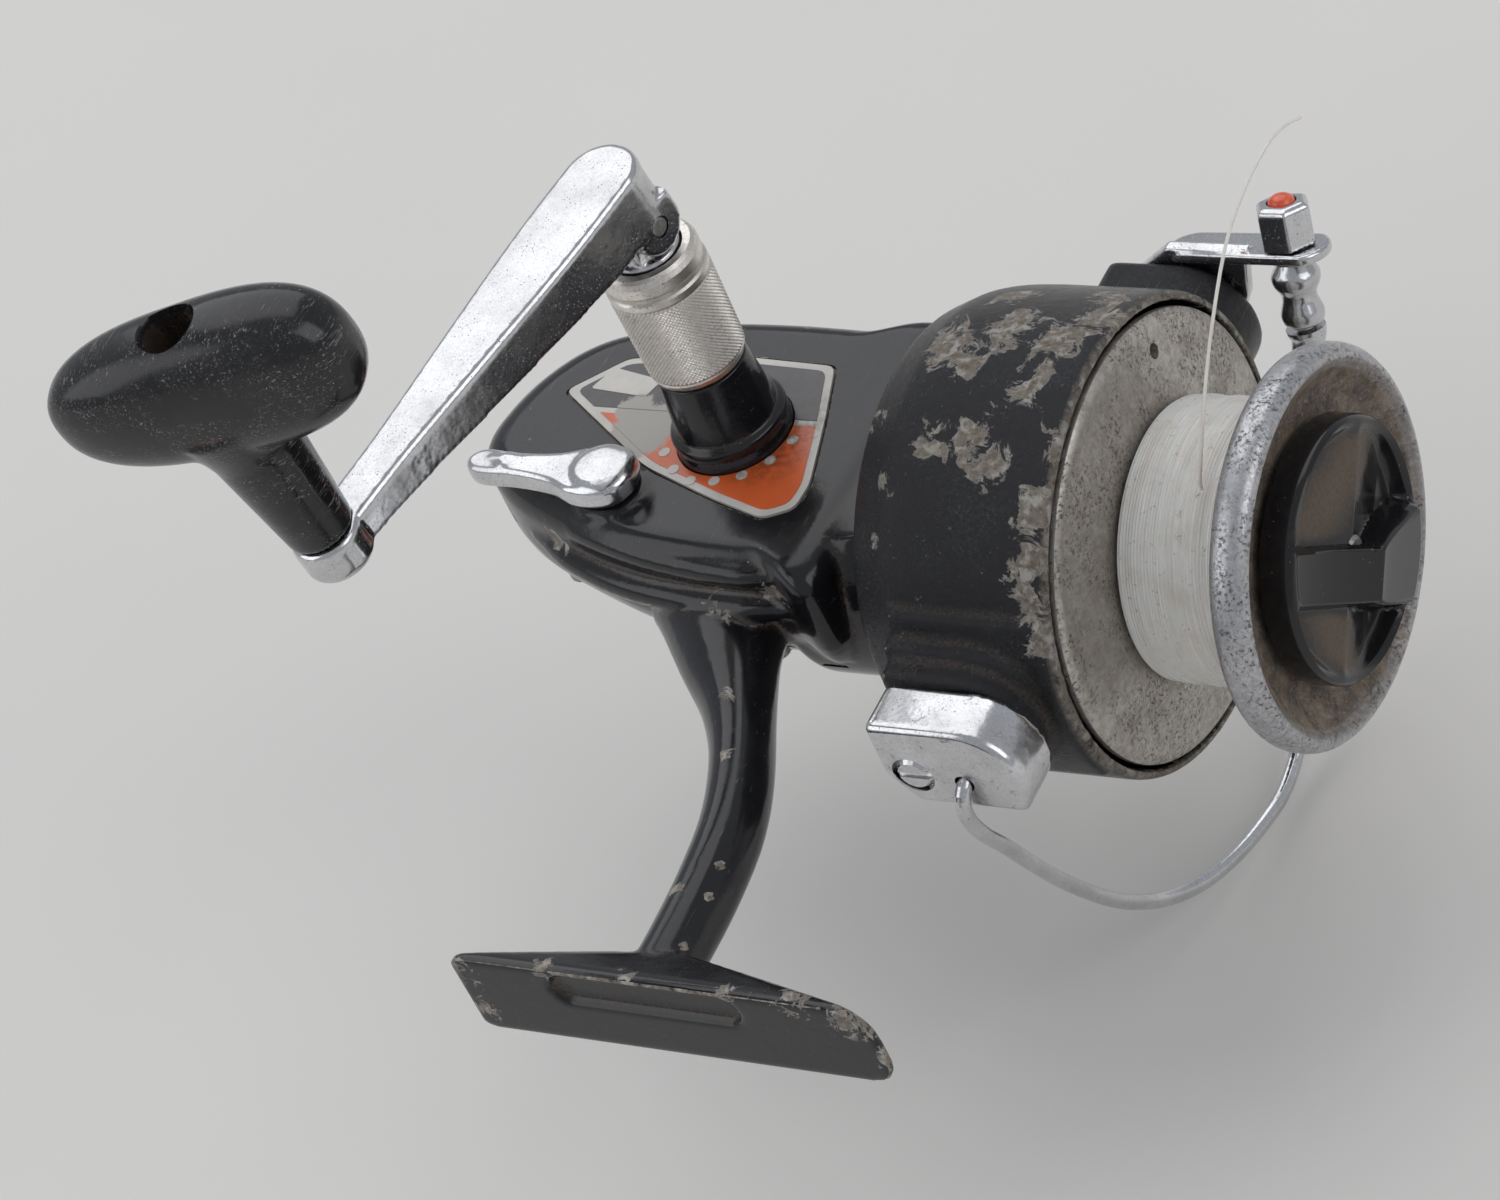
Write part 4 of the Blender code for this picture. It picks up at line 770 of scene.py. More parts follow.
class REEL_OT_stage(Operator):
    """Sets the camera, the pale floor and the soft studio lights"""
    bl_idname = "reel.stage"
    bl_label = "Stage and camera"

    def execute(self, context):
        scene = context.scene
        lens = bpy.data.cameras.new("camera")
        lens.lens = 129.865
        lens.sensor_width = 36.0
        lens.clip_start = 0.01
        camera = bpy.data.objects.new("camera", lens)
        right = Vector((0.837075, 0.419671, -0.350974))
        up = Vector((-0.073667, 0.722151, 0.687802))
        back = Vector((0.542106, -0.549886, 0.635410))
        camera.matrix_world = (Matrix.Translation((0.346398, -0.307698, 0.431607))
                               @ Matrix((right, up, back)).transposed().to_4x4())
        scene.collection.objects.link(camera)
        scene.camera = camera
        bm = bmesh.new()
        bmesh.ops.create_grid(bm, x_segments=8, y_segments=8, size=4.0)
        bmesh.ops.translate(bm, vec=(0, 0, FLOOR_Z), verts=bm.verts)
        mesh = bpy.data.meshes.new("floor")
        bm.to_mesh(mesh)
        bm.free()
        floor = bpy.data.objects.new("floor", mesh)
        scene.collection.objects.link(floor)
        pale = Finish("pale_floor", Roughness=0.8)
        mottle = pale.noise(0.01, 3.0)
        mesh.materials.append(pale.done(pale.blend(mottle, (0.76, 0.74, 0.71, 1.0), (0.80, 0.78, 0.75, 1.0))))
        world = bpy.data.worlds.new("studio")
        world.use_nodes = True
        world.node_tree.nodes["Background"].inputs["Color"].default_value = (0.86, 0.89, 0.95, 1.0)
        world.node_tree.nodes["Background"].inputs["Strength"].default_value = 0.45
        scene.world = world
        aim = Vector((-0.01, 0.075, 0.01))
        for name, at, size, power in (("key", (-0.45, 0.75, 1.15), 1.5, 7.6), ("fill", (1.15, 0.10, 0.75), 0.9, 3.4),
                                      ("side", (-0.85, -0.75, 0.75), 1.0, 3.4)):
            data = bpy.data.lights.new(name, "AREA")
            data.size = size
            data.energy = power
            lamp = bpy.data.objects.new(name, data)
            lamp.location = at
            lamp.rotation_euler = (aim - Vector(at)).to_track_quat("-Z", "Y").to_euler()
            scene.collection.objects.link(lamp)
        scene.view_settings.view_transform = "Standard"
        return {"FINISHED"}


class REEL_OT_free_line(Operator):
    """Makes the loose end of the nylon line"""
    bl_idname = "reel.free_line"
    bl_label = "Free line"

    def execute(self, context):
        route = smooth_path([(42.4, -7.2, 16.7), (43.3, -8.0, 19.0), (43.9, -6.3, 22.4), (44.4, -3.4, 26.6),
                             (44.8, 2.4, 32.4), (45.0, 10.7, 38.1), (45.0, 17.5, 40.2), (45.0, 25.6, 40.8),
                             (44.6, 31.2, 39.2), (44.0, 36.2, 36.3)], 4)
        route = [(p + SPOOL_AXIS) * MM for p in route]
        curve = bpy.data.curves.new("free_line", "CURVE")
        curve.dimensions = "3D"
        curve.bevel_depth = LINE_DIAMETER / 2
        curve.bevel_resolution = 4
        curve.use_fill_caps = True
        spline = curve.splines.new("POLY")
        spline.points.add(len(route) - 1)
        for slot, point in zip(spline.points, route):
            slot.co = (*point, 1.0)
        curve.materials.append(known("free_nylon", nylon, 0.15))
        made = bpy.data.objects.new("free_line", curve)
        context.scene.collection.objects.link(made)
        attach(made, "spool_body")
        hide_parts("line_end")
        return {"FINISHED"}


class REEL_OT_housing(Operator):
    """Casts the gearbox, stem and foot"""
    bl_idname = "reel.housing"
    bl_label = "Housing"

    def execute(self, context):
        collar = turned([(-18, 0), (-18, 18.8), (-17.4, 19.7), (-16.2, 20.3), (-4.6, 20.3), (-3.2, 20.0),
                         (-2.2, 19.3), (-2.2, 0)])
        sliced(collar, (0, 0, 12.8), Z)
        stem = smooth_path([(-27, -16, 0), (-21.6, -26, 0), (-16.2, -34.3, 0), (-11.4, -43, 0), (-8.0, -52.5, 0),
                            (-6.6, -62, 0), (-6.2, -70, 0), (-6.2, -76, 0)], 5)
        count = len(stem)
        deep = [4.0 + 6.2 * max(0.0, 1.0 - i / (count * 0.42)) ** 2 for i in range(count)]
        flare = [max(0.0, 1.0 - i / (count * 0.35)) ** 2 * 1.4 for i in range(count)]
        wide = [5.4 - 1.3 * i / count + flare[i] for i in range(count)]
        stem = swept(stem, deep, 28, wide)
        foot = bmesh.new()
        plan = arc(-29.8, 4.8, 1.5, 90, 180, 4) + arc(-29.8, -4.8, 1.5, 180, 270, 4)
        plan += arc(24.0, -3.3, 3.0, -90, 0, 7) + arc(21.5, 0.8, 5.5, 0, 90, 9)
        for x, z in plan:
            for y in (-82.0, -80.7):
                foot.verts.new((x, y, z))
        for x, y in ((-12.0, -75.6), (-2.0, -74.6)):
            for z in (-3.6, 3.6):
                foot.verts.new((x, y, z))
        hull = bmesh.ops.convex_hull(foot, input=foot.verts)
        bmesh.ops.delete(foot, geom=list(set(hull["geom_interior"] + hull["geom_unused"])), context="VERTS")
        plug = turned(rod(7.4, 10.2, 14.0), Z, TOWER)
        tower = turned(rounded([(12.6, 5.25), (12.6, 7.9), (14.2, 7.75), (15.0, 7.35), (15.3, 7.8), (16.5, 7.75),
                                (17.1, 6.85), (26.0, 5.95), (26.0, 5.25)], 0.35, keep=(0, 8)), Z, TOWER)
        ribs = []
        for route, radius in (([(-52, -12.4, 9.6), (-44, -15.9, 9.9), (-35, -18.6, 10.0), (-26, -20.1, 10.0),
                                (-19, -20.7, 10.0), (-12, -20.4, 9.8)], 1.9),
                              ([(-56, -12.2, 5.0), (-47, -16.7, 5.2), (-38, -19.8, 5.2), (-28, -21.4, 5.2),
                                (-20, -21.9, 5.2), (-12, -21.6, 5.0)], 2.0)):
            points = smooth_path(route, 5)
            ends = [min(1.0, 0.55 + 0.12 * min(i, len(points) - 1 - i)) for i in range(len(points))]
            ribs.append(swept(points, [radius * e for e in ends], 18))
        boss = turned([(8.5, 0), (8.5, 5.4), (13.4, 5.0), (13.8, 4.4), (13.8, 0)], Z, LEVER, 48)
        posts = [turned(rod(2.9, -5.6, 3.2), Z, (x, y, 0), 24) for x, y in SCREW_PLACES]
        oblong = slab(arc(10.8, 0, 2.5, -90, 90, 11) + arc(-10.8, 0, 2.5, 90, 270, 11), -1.0, 1.2)
        placed(oblong, X, -Z, Y, (-4.3, -82.0, 3.1))
        foot = worked(foot, cutters=[oblong])
        cast = merged(gearbox(BODY_LEVELS), collar, stem, foot, plug, boss, *ribs)
        inside = [(x, y) for x, y in housing_outline(0.86, 0.9, 3) if x < -12.5]
        inside = [(-11.5, inside[0][1])] + inside + [(-11.5, inside[-1][1])]
        recess = worked(slab(badge_outline(0.35), 12.9, 13.9), cutters=[turned(rod(7.6, 12.0, 14.4), Z, TOWER, 64)])
        cutters = [slab(inside, -9.0, 11.0), turned(rod(6.2, -13, 2), steps=48),
                   turned(rod(5.2, 9, 30), Z, TOWER, 48), turned(rod(1.75, 9.3, 16), Z, LEVER, 24), recess]
        cast = merged(worked(cast, sizes().casting_detail / MM, 6, cutters), tower)
        for post, (x, y) in zip(posts, SCREW_PLACES):
            post = worked(post, cutters=[turned(rod(1.3, -7, 1.6), Z, (x, y, 0), 20)])
            cast = merged(cast, post)
        finished("cast_housing", cast, body_enamel(), "housing", "reel_body", slot="paint")
        return {"FINISHED"}


class REEL_OT_gear_cover(Operator):
    """Makes the cover over the gears, on the hidden side"""
    bl_idname = "reel.gear_cover"
    bl_label = "Gear cover"

    def execute(self, context):
        cutters = [slab([(-18.6, -30), (0, -30), (0, 30), (-18.6, 30)], -12.0, 0.0)]
        seat = [(-12, 0), (-12, 2.6), (-9.0, 2.6), (-9.0, 1.4), (-5, 1.4), (-5, 0)]
        cutters += [turned(seat, Z, (x, y, 0), 24) for x, y in SCREW_PLACES]
        cover = gearbox(COVER_LEVELS)
        panel = slab([(x * 0.52 - 16.3, y * 0.52 + 2.8) for x, y in housing_outline()], -12.0, -10.7)
        cover = worked(cover, cutters=[panel] + cutters)
        finished("gear_cover", cover, known("cover_enamel", enamel, BODY_CHIPS, 0.60, 0.56, 0.62), "housing",
                 "side_cover", slot="paint", angle=28)
        return {"FINISHED"}


class REEL_OT_badge(Operator):
    """Lays the printed badge on the handle side, in its layers"""
    bl_idname = "reel.badge"
    bl_label = "Side badge"

    def execute(self, context):
        def layer(name, outline, low, high, finish, *nodes):
            bore = turned(rod(8.0, 12, 15), Z, TOWER, 64)
            lever = turned(rod(1.7, 12, 15), Z, LEVER, 24)
            shape = worked(slab(outline, low, high), cutters=[bore, lever])
            finished(name, shape, finish, "housing", *nodes, slot="badge_print")

        white = known("badge_white", printed, (0.66, 0.63, 0.58, 1.0), GREY_INK)
        orange = known("badge_orange", printed, tuple(colours().badge), (0.45, 0.09, 0.03, 1.0))
        black = known("badge_black", printed, (0.035, 0.035, 0.045, 1.0), GREY_INK)
        layer("badge_plate", badge_outline(), 13.0, 13.42, white, "side_badge")
        inner = badge_outline(-1.05)
        layer("badge_lower_field", level_part(inner, 1.7, below=True), 13.3, BADGE_TOP, orange)
        layer("badge_upper_field", level_part(inner, 2.7, below=False), 13.3, BADGE_TOP, black)
        dots = [turned(rod(0.78, 13.4, 13.55), Z, (x, y, 0), 20) for x, y in BADGE_DOTS]
        finished("badge_dots", merged(*dots), white, "housing", slot="badge_print")
        block = slab(rounded_corners([(-53.6, 5.8), (-44.6, 4.9), (-43.6, 8.0), (-51.8, 9.7)], 0.6), 13.4, 13.55)
        finished("badge_block", block, white, "housing", slot="badge_print")
        return {"FINISHED"}


class REEL_OT_lever(Operator):
    """Makes the anti-reverse lever"""
    bl_idname = "reel.lever"
    bl_label = "Anti-reverse lever"

    def execute(self, context):
        outline = smooth_loop([(4.4, 1.4, 0), (2.6, 4.0, 0), (-2.0, 4.0, 0), (-7, 2.4, 0), (-13, 1.9, 0),
                               (-18.5, 2.1, 0), (-20.6, 0.2, 0), (-19, -2.0, 0), (-13, -2.2, 0), (-7, -3.0, 0),
                               (-2.5, -4.6, 0), (2.6, -4.2, 0), (4.6, -1.6, 0)], 6)
        blade = slab([(LEVER.x + p.x, LEVER.y + p.y) for p in outline], 14.0, 17.6, bevel=1.1)
        dome = turned([(14.0, 0), (14.0, 4.2), (16.6, 4.6), (17.6, 4.2), (18.1, 3.0), (18.3, 0)], Z, LEVER, 48)
        bmesh.ops.scale(dome, vec=(1.0, 0.96, 1.0), verts=dome.verts, space=Matrix.Translation(-LEVER))
        nose = swept([LEVER + Vector(p) for p in ((-9.0, 0.1, 15.9), (-14.5, 0.0, 16.2), (-19.2, 0.1, 15.9))],
                     [1.6, 2.1, 1.5], 24, [1.5, 1.9, 1.5])
        stub = turned(rod(1.5, 8.9, 15.0), Z, LEVER, 24)
        shape = worked(merged(blade, dome, nose), 0.25, 9)
        finished("stop_lever", merged(shape, stub), chrome(), "switch", "anti_reverse_lever", slot="chrome")
        return {"FINISHED"}


class REEL_OT_sleeve(Operator):
    """Turns and knurls the locking sleeve, and makes the lug above it"""
    bl_idname = "reel.sleeve"
    bl_label = "Locking sleeve and lug"

    def execute(self, context):
        count = sizes().knurl_count
        low, high, rows = 27.6, 40.2, 44
        profile = [(26.3, 4.9), (26.3, 5.7), (26.6, 6.15), (27.3, 6.4)]
        profile += [(low + (high - low) * i / rows, 6.32 + 0.30 * i / rows) for i in range(rows + 1)]
        profile += [(40.5, 6.75), (41.3, 6.75), (41.6, 6.45), (42.1, 6.4), (42.5, 6.6), (43.9, 6.6), (44.6, 6.3),
                    (45.0, 5.9), (45.0, 4.9)]
        sleeve = turned(profile, Z, TOWER, 2 * count)
        depth = sizes().knurl_depth / MM
        step = (high - low) / rows
        raised = set()
        for vert in sleeve.verts:
            out = Vector((vert.co.x - TOWER.x, vert.co.y, 0))
            row = round((vert.co.z - low) / step)
            if out.length < 5.3 or not 0 < row < rows or abs(low + row * step - vert.co.z) > 0.05:
                continue
            spoke = round(math.atan2(out.y, out.x) / (math.pi / count))
            if (row + spoke) % 2:
                vert.co += out.normalized() * depth
                raised.add(vert)
        for face in list(sleeve.faces):
            flat = [v for v in face.verts if v not in raised]
            if len(face.verts) == 4 and len(flat) == 2:
                bmesh.utils.face_split(face, *flat)
        finished("knurled_sleeve", sleeve, known("knurled_nickel", weathered, (0.86, 0.82, 0.77, 1.0),
                                                 (0.70, 0.66, 0.61, 1.0), 0.30, 0.62, 0.26),
                 "sleeve", "locking_sleeve", slot="nickel", angle=20)
        flat = Vector((ALONG.x, ALONG.y, 0)).normalized()
        lug = turned(rounded([(41.3, 0), (41.3, 4.6), (45.6, 4.6), (45.6, 0)], 0.4), Z, TOWER, 48)
        tongue = slab([(-2.9, 0), (2.9, 0), (2.9, 8.2), (2.5, 8.8), (1.9, 9.0), (-1.9, 9.0), (-2.5, 8.8), (-2.9, 8.2)],
                      -3.6, 3.6, bevel=0.4, segments=3)
        placed(tongue, ACROSS, Z, -flat, (-28.3, 0, 44.0))
        lug = worked(merged(lug, tongue), 0.22, 3, [turned(rod(1.45, -6, 6), ACROSS, HUB, 24)])
        finished("hinge_lug", lug, rusty_chrome(), "drive", "handle_lug", slot="nickel")
        return {"FINISHED"}


class REEL_OT_crank(Operator):
    """Makes the folding crank arm"""
    bl_idname = "reel.crank"
    bl_label = "Crank arm"

    def execute(self, context):
        side = smooth_path([(0.6, 5.4, 0), (8, 5.45, 0), (16, 5.2, 0), (30, 4.3, 0), (44, 3.4, 0), (56, 3.3, 0)], 5)
        outline = arc(0.6, 0, 5.4, 172, 92, 12) + [(p.x, p.y) for p in side]
        outline += [(x, -y) for x, y in outline[::-1]]
        arm = slab(outline, 0.4, CRANK_FACE, bevel=1.1, segments=5, top_only=True)
        sliced(arm, (8, 0, 0.4), Vector((4.4, 0, -49.0)).normalized())
        placed(arm, ALONG, UP.cross(ALONG), UP, HUB)
        ear = slab(arc(0, 0, 3.8, 180, 360, 17) + [(3.8, 3.0), (-3.8, 3.0)], -5.2, 5.2, bevel=0.3)
        placed(ear, ALONG, UP, ALONG.cross(UP), HUB)
        tip = HUB + ALONG * CRANK_LENGTH
        eye = turned(rounded([(3.6, 0), (3.6, 3.9), (4.4, 4.5), (8.4, 4.5), (9.0, 4.1), (9.0, 0)], 0.4), UP, tip, 64)
        channel = slab([(-9, -3.9), (48, -1.9), (48, 1.9), (-9, 3.9)], -9, 7.4, bevel=0.6, top_only=True)
        placed(channel, ALONG, UP.cross(ALONG), UP, HUB)
        arm = worked(merged(arm, ear, eye), 0.3, 5,
                     [channel, turned(rod(1.45, -6, 6), ACROSS, HUB, 24), turned(rod(1.75, -2, 12), UP, tip, 24)])
        finished("folding_crank", arm, chrome(), "crank", "crank_arm", slot="chrome")
        return {"FINISHED"}


class REEL_OT_handle(Operator):
    """Moulds the handle knob"""
    bl_idname = "reel.handle"
    bl_label = "Handle knob"

    def execute(self, context):
        tip = HUB + ALONG * CRANK_LENGTH
        neck = turned([(9.3, 1.0), (9.3, 4.0), (9.6, 4.3), (10.2, 4.35), (26.0, 5.7), (28.0, 6.2), (30.5, 7.0),
                       (33.7, 8.0), (33.7, 1.0)], UP, tip, 64)
        turn = math.radians(20.0)
        wide = Vector((math.cos(turn), math.sin(turn), 0))
        wide = (wide - UP * wide.dot(UP)).normalized()
        paddle = bmesh.new()
        bmesh.ops.create_uvsphere(paddle, u_segments=64, v_segments=40, radius=1.0)
        for vert in paddle.verts:
            square = sum(abs(c) ** 2.45 for c in vert.co) ** (1 / 2.45)
            vert.co.x = math.copysign(abs(vert.co.x / square) ** 0.88, vert.co.x) * 19.6
            taper = (1.0 + 0.11 * vert.co.x / 20.0) / square
            vert.co.y *= 7.3 * taper
            vert.co.z *= 9.7 * taper
        placed(paddle, wide, UP.cross(wide), UP, tip + UP * 37.0)
        bore = turned([(5, 0), (5, 1.9), (33.5, 1.9), (33.5, 3.3), (45.2, 3.3), (46.2, 3.6), (47.4, 4.4), (60, 4.4),
                       (60, 0)], UP, tip, 48)
        knob = worked(merged(neck, paddle), sizes().casting_detail * 0.9 / MM, 8, [bore])
        finished("turning_knob", knob, known("knob_plastic", moulded), "knob", "handle_knob", slot="black_plastic")
        return {"FINISHED"}


class REEL_OT_rotor(Operator):
    """Casts the rotor cup with its two arms"""
    bl_idname = "reel.rotor"
    bl_label = "Rotor"

    def execute(self, context):
        radius = sizes().rotor_radius / MM
        cup = turned([(0, 3.4), (0, 25.6), (0.3, 26.4), (1.2, 27.3), (5.5, 29.2), (7.4, 29.6), (9.5, radius - 0.15),
                      (13, radius), (27.9, radius), (28.8, radius - 0.15), (29.3, radius - 0.7), (29.2, 28.75),
                      (11.0, 28.75), (6.5, 26.6), (2.6, 22), (2.6, 9), (4.2, 8), (4.2, 3.4)], steps=144)
        pad = turned([(6.5, 26), (6.5, radius + 0.2), (7.2, radius + 0.9), (28.0, radius + 0.9), (28.6, radius + 0.3),
                      (28.6, 28.75), (12.0, 28.75), (12.0, 26)], steps=144)
        sliced(pad, (0, 0, 13.0), Z)
        sliced(pad, (0, 0, -13.0), -Z)
        sliced(pad, (0, 0, 0), Y)
        shapes = [cup, pad]
        for side, top in ((1, 38.5), (-1, 34.2)):
            outline = arc(8.2, 7.8, 1.2, 90, 180, 5) + arc(8.2, -7.8, 1.2, 180, 270, 5) + arc(17.0, 0, 9.0, -90, 90, 25)
            arm = slab(outline, 27.0, top, bevel=0.9, top_only=True)
            skirt = slab([((x - 16) * 1.12 + 16.2, z * 1.14) for x, z in outline], 26.5, 30.9, bevel=0.8, top_only=True)
            for part in (arm, skirt):
                shapes.append(placed(part, X, Z * side, Y * side))
        room = turned(rod(28.75, 11.2, 33), steps=144)
        pivot = (BAIL_X, 0, 0)
        cutters = [room, turned(rod(1.4, 33.5, 50), Y, pivot, 24), turned(rod(1.4, 32.2, 50), -Y, pivot, 24),
                   turned([(31.2, 3.0), (31.2, 6.4), (40, 6.4), (40, 3.0)], -Y, pivot, 48)]
        rotor = worked(merged(*shapes), 0.5, 6, cutters)
        finished("rotor", rotor, rotor_enamel(), "rotor", "rotor_cup", slot="paint")
        return {"FINISHED"}


class REEL_OT_bail(Operator):
    """Makes the bail: lower cover, wire, upper arm, nut and jewel"""
    bl_idname = "reel.bail"
    bl_label = "Bail"

    def execute(self, context):
        outline = arc(9.0, 7.0, 1.0, 90, 180, 5) + arc(9.0, -7.0, 1.0, 180, 270, 5) + arc(19.8, 0, 8.0, -90, 90, 31)
        cover = slab(outline, 34.5, 41.5, bevel=2.2, segments=6, top_only=True)
        placed(cover, X, -Z, -Y)
        sliced(cover, (0, -41.5, -4.4), Vector((0, -3.4, -5.0)).normalized())
        sliced(cover, (9.9, -41.5, -1.9), Vector((-25.6, -39.9, -19.4)).normalized())
        pivot = (BAIL_X, 0, 0)
        cover = worked(cover, 0.3, 4,
                       [turned([(33, 0), (33, 1.5), (40.0, 1.5), (40.0, 2.8), (43, 2.8), (43, 0)], -Y, pivot, 40),
                        turned(rod(1.3, 37.5, 43), -Y, (19.2, 0, -0.6), 24)])
        finished("bail_cap", cover, rusty_chrome(), "bail", "bail_cover", slot="chrome")
        plate = slab(arc(BAIL_X, 0, 6.5, 120, 270, 25) + [(20.5, -5.0), (25.0, 3.0), (27.0, 10.6), (15.5, 10.6)],
                     38.8, 40.8, bevel=0.5)
        bmesh.ops.transform(plate, matrix=Matrix(((1, 0, 0, 0), (0, 0, 1, 0), (0, 1, 0, 0), (0, 0, 0, 1))),
                            verts=plate.verts)
        leaf = arc(-13.6, 0, 3.4, 100, 260, 13) + arc(1.0, 0, 4.3, -60, 60, 15)
        width = ROLLER_AXIS.cross(X).normalized()
        length = width.cross(ROLLER_AXIS)
        bracket = placed(slab(leaf, 0, 1.5, bevel=0.5), length, width, ROLLER_AXIS, ROLLER + ROLLER_AXIS * 5.0)
        bracket = worked(merged(plate, bracket), 0.22, 4,
                         [turned(rod(1.5, 37, 43), Y, pivot, 24), turned(rod(1.4, 2, 10), ROLLER_AXIS, ROLLER, 24)])
        finished("bail_bracket", bracket, rusty_chrome(), "bail", "bail_arm", slot="chrome")
        nut = slab(arc(0, 0, 3.75, 0, 300, 6), 6.7, 12.4, bevel=1.0, top_only=True)
        placed(nut, length, width, ROLLER_AXIS, ROLLER)
        bore = [(6, 0), (6, 1.4), (11.2, 1.4), (11.2, 1.95), (14, 1.95), (14, 0)]
        nut = worked(nut, 0.2, 3, [turned(bore, ROLLER_AXIS, ROLLER, 40)])
        finished("cap_nut", nut, chrome(), "bail", "roller_nut", slot="chrome")
        jewel = turned([(11.5, 0), (11.5, 1.8), (12.4, 1.75), (12.9, 1.5), (13.25, 0.95), (13.4, 0.5), (13.42, 0)],
                       ROLLER_AXIS, ROLLER, 32)
        finished("red_jewel", jewel, known("jewel_enamel", bead_enamel), "bail", "nut_jewel", slot="red_bead")
        self.wire()
        barrel = rounded([(-4.3, 1.3), (-4.3, 2.5), (-2.9, 2.9), (-0.8, 2.2), (0.1, 2.3), (1.4, 3.1), (2.6, 3.2),
                          (3.8, 2.4), (4.6, 2.0), (4.6, 1.3)], 0.9, keep=(0, 9))
        finished("line_guide", turned(barrel, ROLLER_AXIS, ROLLER, 48), chrome(), "roller", "line_roller",
                 slot="nickel")
        return {"FINISHED"}

    def wire(self):
        end = ROLLER - ROLLER_AXIS * 4.9
        route = [(19.2, -38.0, -0.6), (19.2, -41.0, -0.6), (19.0, -42.8, -2.0), (18.8, -43.1, -5.0),
                 (18.9, -42.0, -9.0), (19.1, -39.9, -13.4), (19.3, -37.2, -19.6), (19.8, -34.2, -26.2),
                 (21.0, -30.4, -33.4), (22.2, -27.0, -38.3), (23.4, -22.2, -43.1), (24.4, -16.0, -47.2),
                 (25.3, -9.0, -49.9), (25.9, -1.6, -51.6), (26.2, 5.0, -52.2), (25.8, 12.0, -50.8), (25.3, 18.6, -47.0),
                 (25.6, 24.2, -41.6), (26.6, 28.2, -34.8), (28.2, 30.6, -27.0), (29.8, 31.8, -19.4),
                 (30.9, 32.8, -12.4), (31.4, 34.4, -6.4), end - ROLLER_AXIS * 3.4 + Vector((-0.7, -0.5, 0)),
                 end - ROLLER_AXIS * 1.5, end]
        points = smooth_path(route, 5)
        radius = sizes().wire_radius / MM
        swell = [2.6, 2.58, 2.54, 2.47, 2.38, 2.27, 2.14, 2.0, 1.85, 1.7, 1.56, 1.42, 1.3, 1.2, 1.12, 1.06, 1.02]
        radii = [radius] * (len(points) - len(swell)) + [radius * s if s < 1.1 else s for s in swell[::-1]]
        wire = swept(points, radii, 20)
        wire = worked(wire, cutters=[turned(rod(1.25, -5.2, 0), ROLLER_AXIS, ROLLER, 20)])
        finished("bail_loop", wire, known("bright_wire", chromed, 0.67),
                 "bail", "bail_wire", slot="steel", angle=50)


class REEL_OT_spool(Operator):
    """Turns the spool and winds the line on it"""
    bl_idname = "reel.spool"
    bl_label = "Spool and line"

    def execute(self, context):
        rim = sizes().flange_radius / MM
        spool = turned([(28.0, 2.05), (22.8, 2.05), (22.8, 5.0), (27.4, 5.0), (27.4, 26.4), (27.6, 27.2), (27.9, 27.7),
                        (28.3, 28.0), (28.7, 28.1), (29.2, 28.0), (29.6, 27.5), (29.85, 26.6), (29.95, 25.4),
                        (30.3, 23.4), (31.0, 19.4), (31.0, 12.3), (47.5, 12.3), (47.5, 23.0), (47.55, 23.7), (47.8, 24.2),
                        (48.4, rim - 0.25), (49.1, rim - 0.02), (50.4, rim), (51.2, rim - 0.2), (51.9, rim - 0.7),
                        (52.3, rim - 1.3), (52.4, rim - 1.8), (52.2, rim - 2.1), (51.4, 21.9), (50.2, 20.3),
                        (49.3, 19.0), (49.0, 18.2), (49.0, 11.5), (48.6, 11.0), (42.0, 11.0), (42.0, 2.05)], steps=160)
        hole = turned(rod(1.0, 28.6, 33), X, (0, 10.2, 21.6), 20)
        spool = worked(spool, cutters=[hole])
        finished("line_spool", spool, known("spool_metal", spool_metal), "spool_body", "spool", slot="aluminium")
        full = sizes().winding_radius / MM
        pitch = sizes().line_pitch / MM
        profile = [(31.4, 12.6), (31.4, 16.8)]
        turns = int((47.0 - 31.6) / pitch)
        for i in range(turns):
            at = 31.6 + i * pitch
            sag = full - 0.9 * max(0.0, (31.9 - at)) - 0.9 * max(0.0, at - 46.5) + 0.10 * math.sin(at * 1.7)
            profile += [(at, sag - 0.10), (at + pitch * 0.25, sag), (at + pitch * 0.5, sag - 0.02),
                        (at + pitch * 0.75, sag - 0.08)]
        profile += [(47.1, 16.8), (47.1, 12.6)]
        finished("wound_line", turned(profile, steps=128), known("wound_nylon", nylon, 1.0), "spool_body",
                 "line_winding", slot="fishing_line")
        return {"FINISHED"}


def drag_height(u, v):
    """How far the drag knob's front stands above its rim, at u along its bar and v across it."""
    r = math.hypot(u, v)
    right = max(0.0, min(1.0, (u - 1.4) / 12.6))
    middle = -3.7 + 0.9 * max(0.0, min(1.0, (u + 14.0) / 15.4)) + 2.6 * right
    half = 3.3 + 2.8 * right ** 0.7
    rim = max(0.0, min(1.0, (16.1 - r) / 1.3))
    scoop = -(0.25 + 2.2 * min(1.0, abs(u + 1.0) / 9.5)) * rim * min(1.0, (16.3 - r) / 2.2)
    if u < 1.4:
        t = max(0.0, (u + 14.6) / 16.0)
        crest = -0.7 + 3.7 * t ** 2.2
    else:
        crest = 3.0 - 1.5 * right ** 0.8
    crest *= max(0.0, min(1.0, (15.8 - r) / 1.6))
    wall = max(0.0, min(1.0, (half + 0.75 - abs(v - middle)) / 1.1))
    wall = wall * wall * (3 - 2 * wall)
    return scoop * (1 - wall) + crest * wall


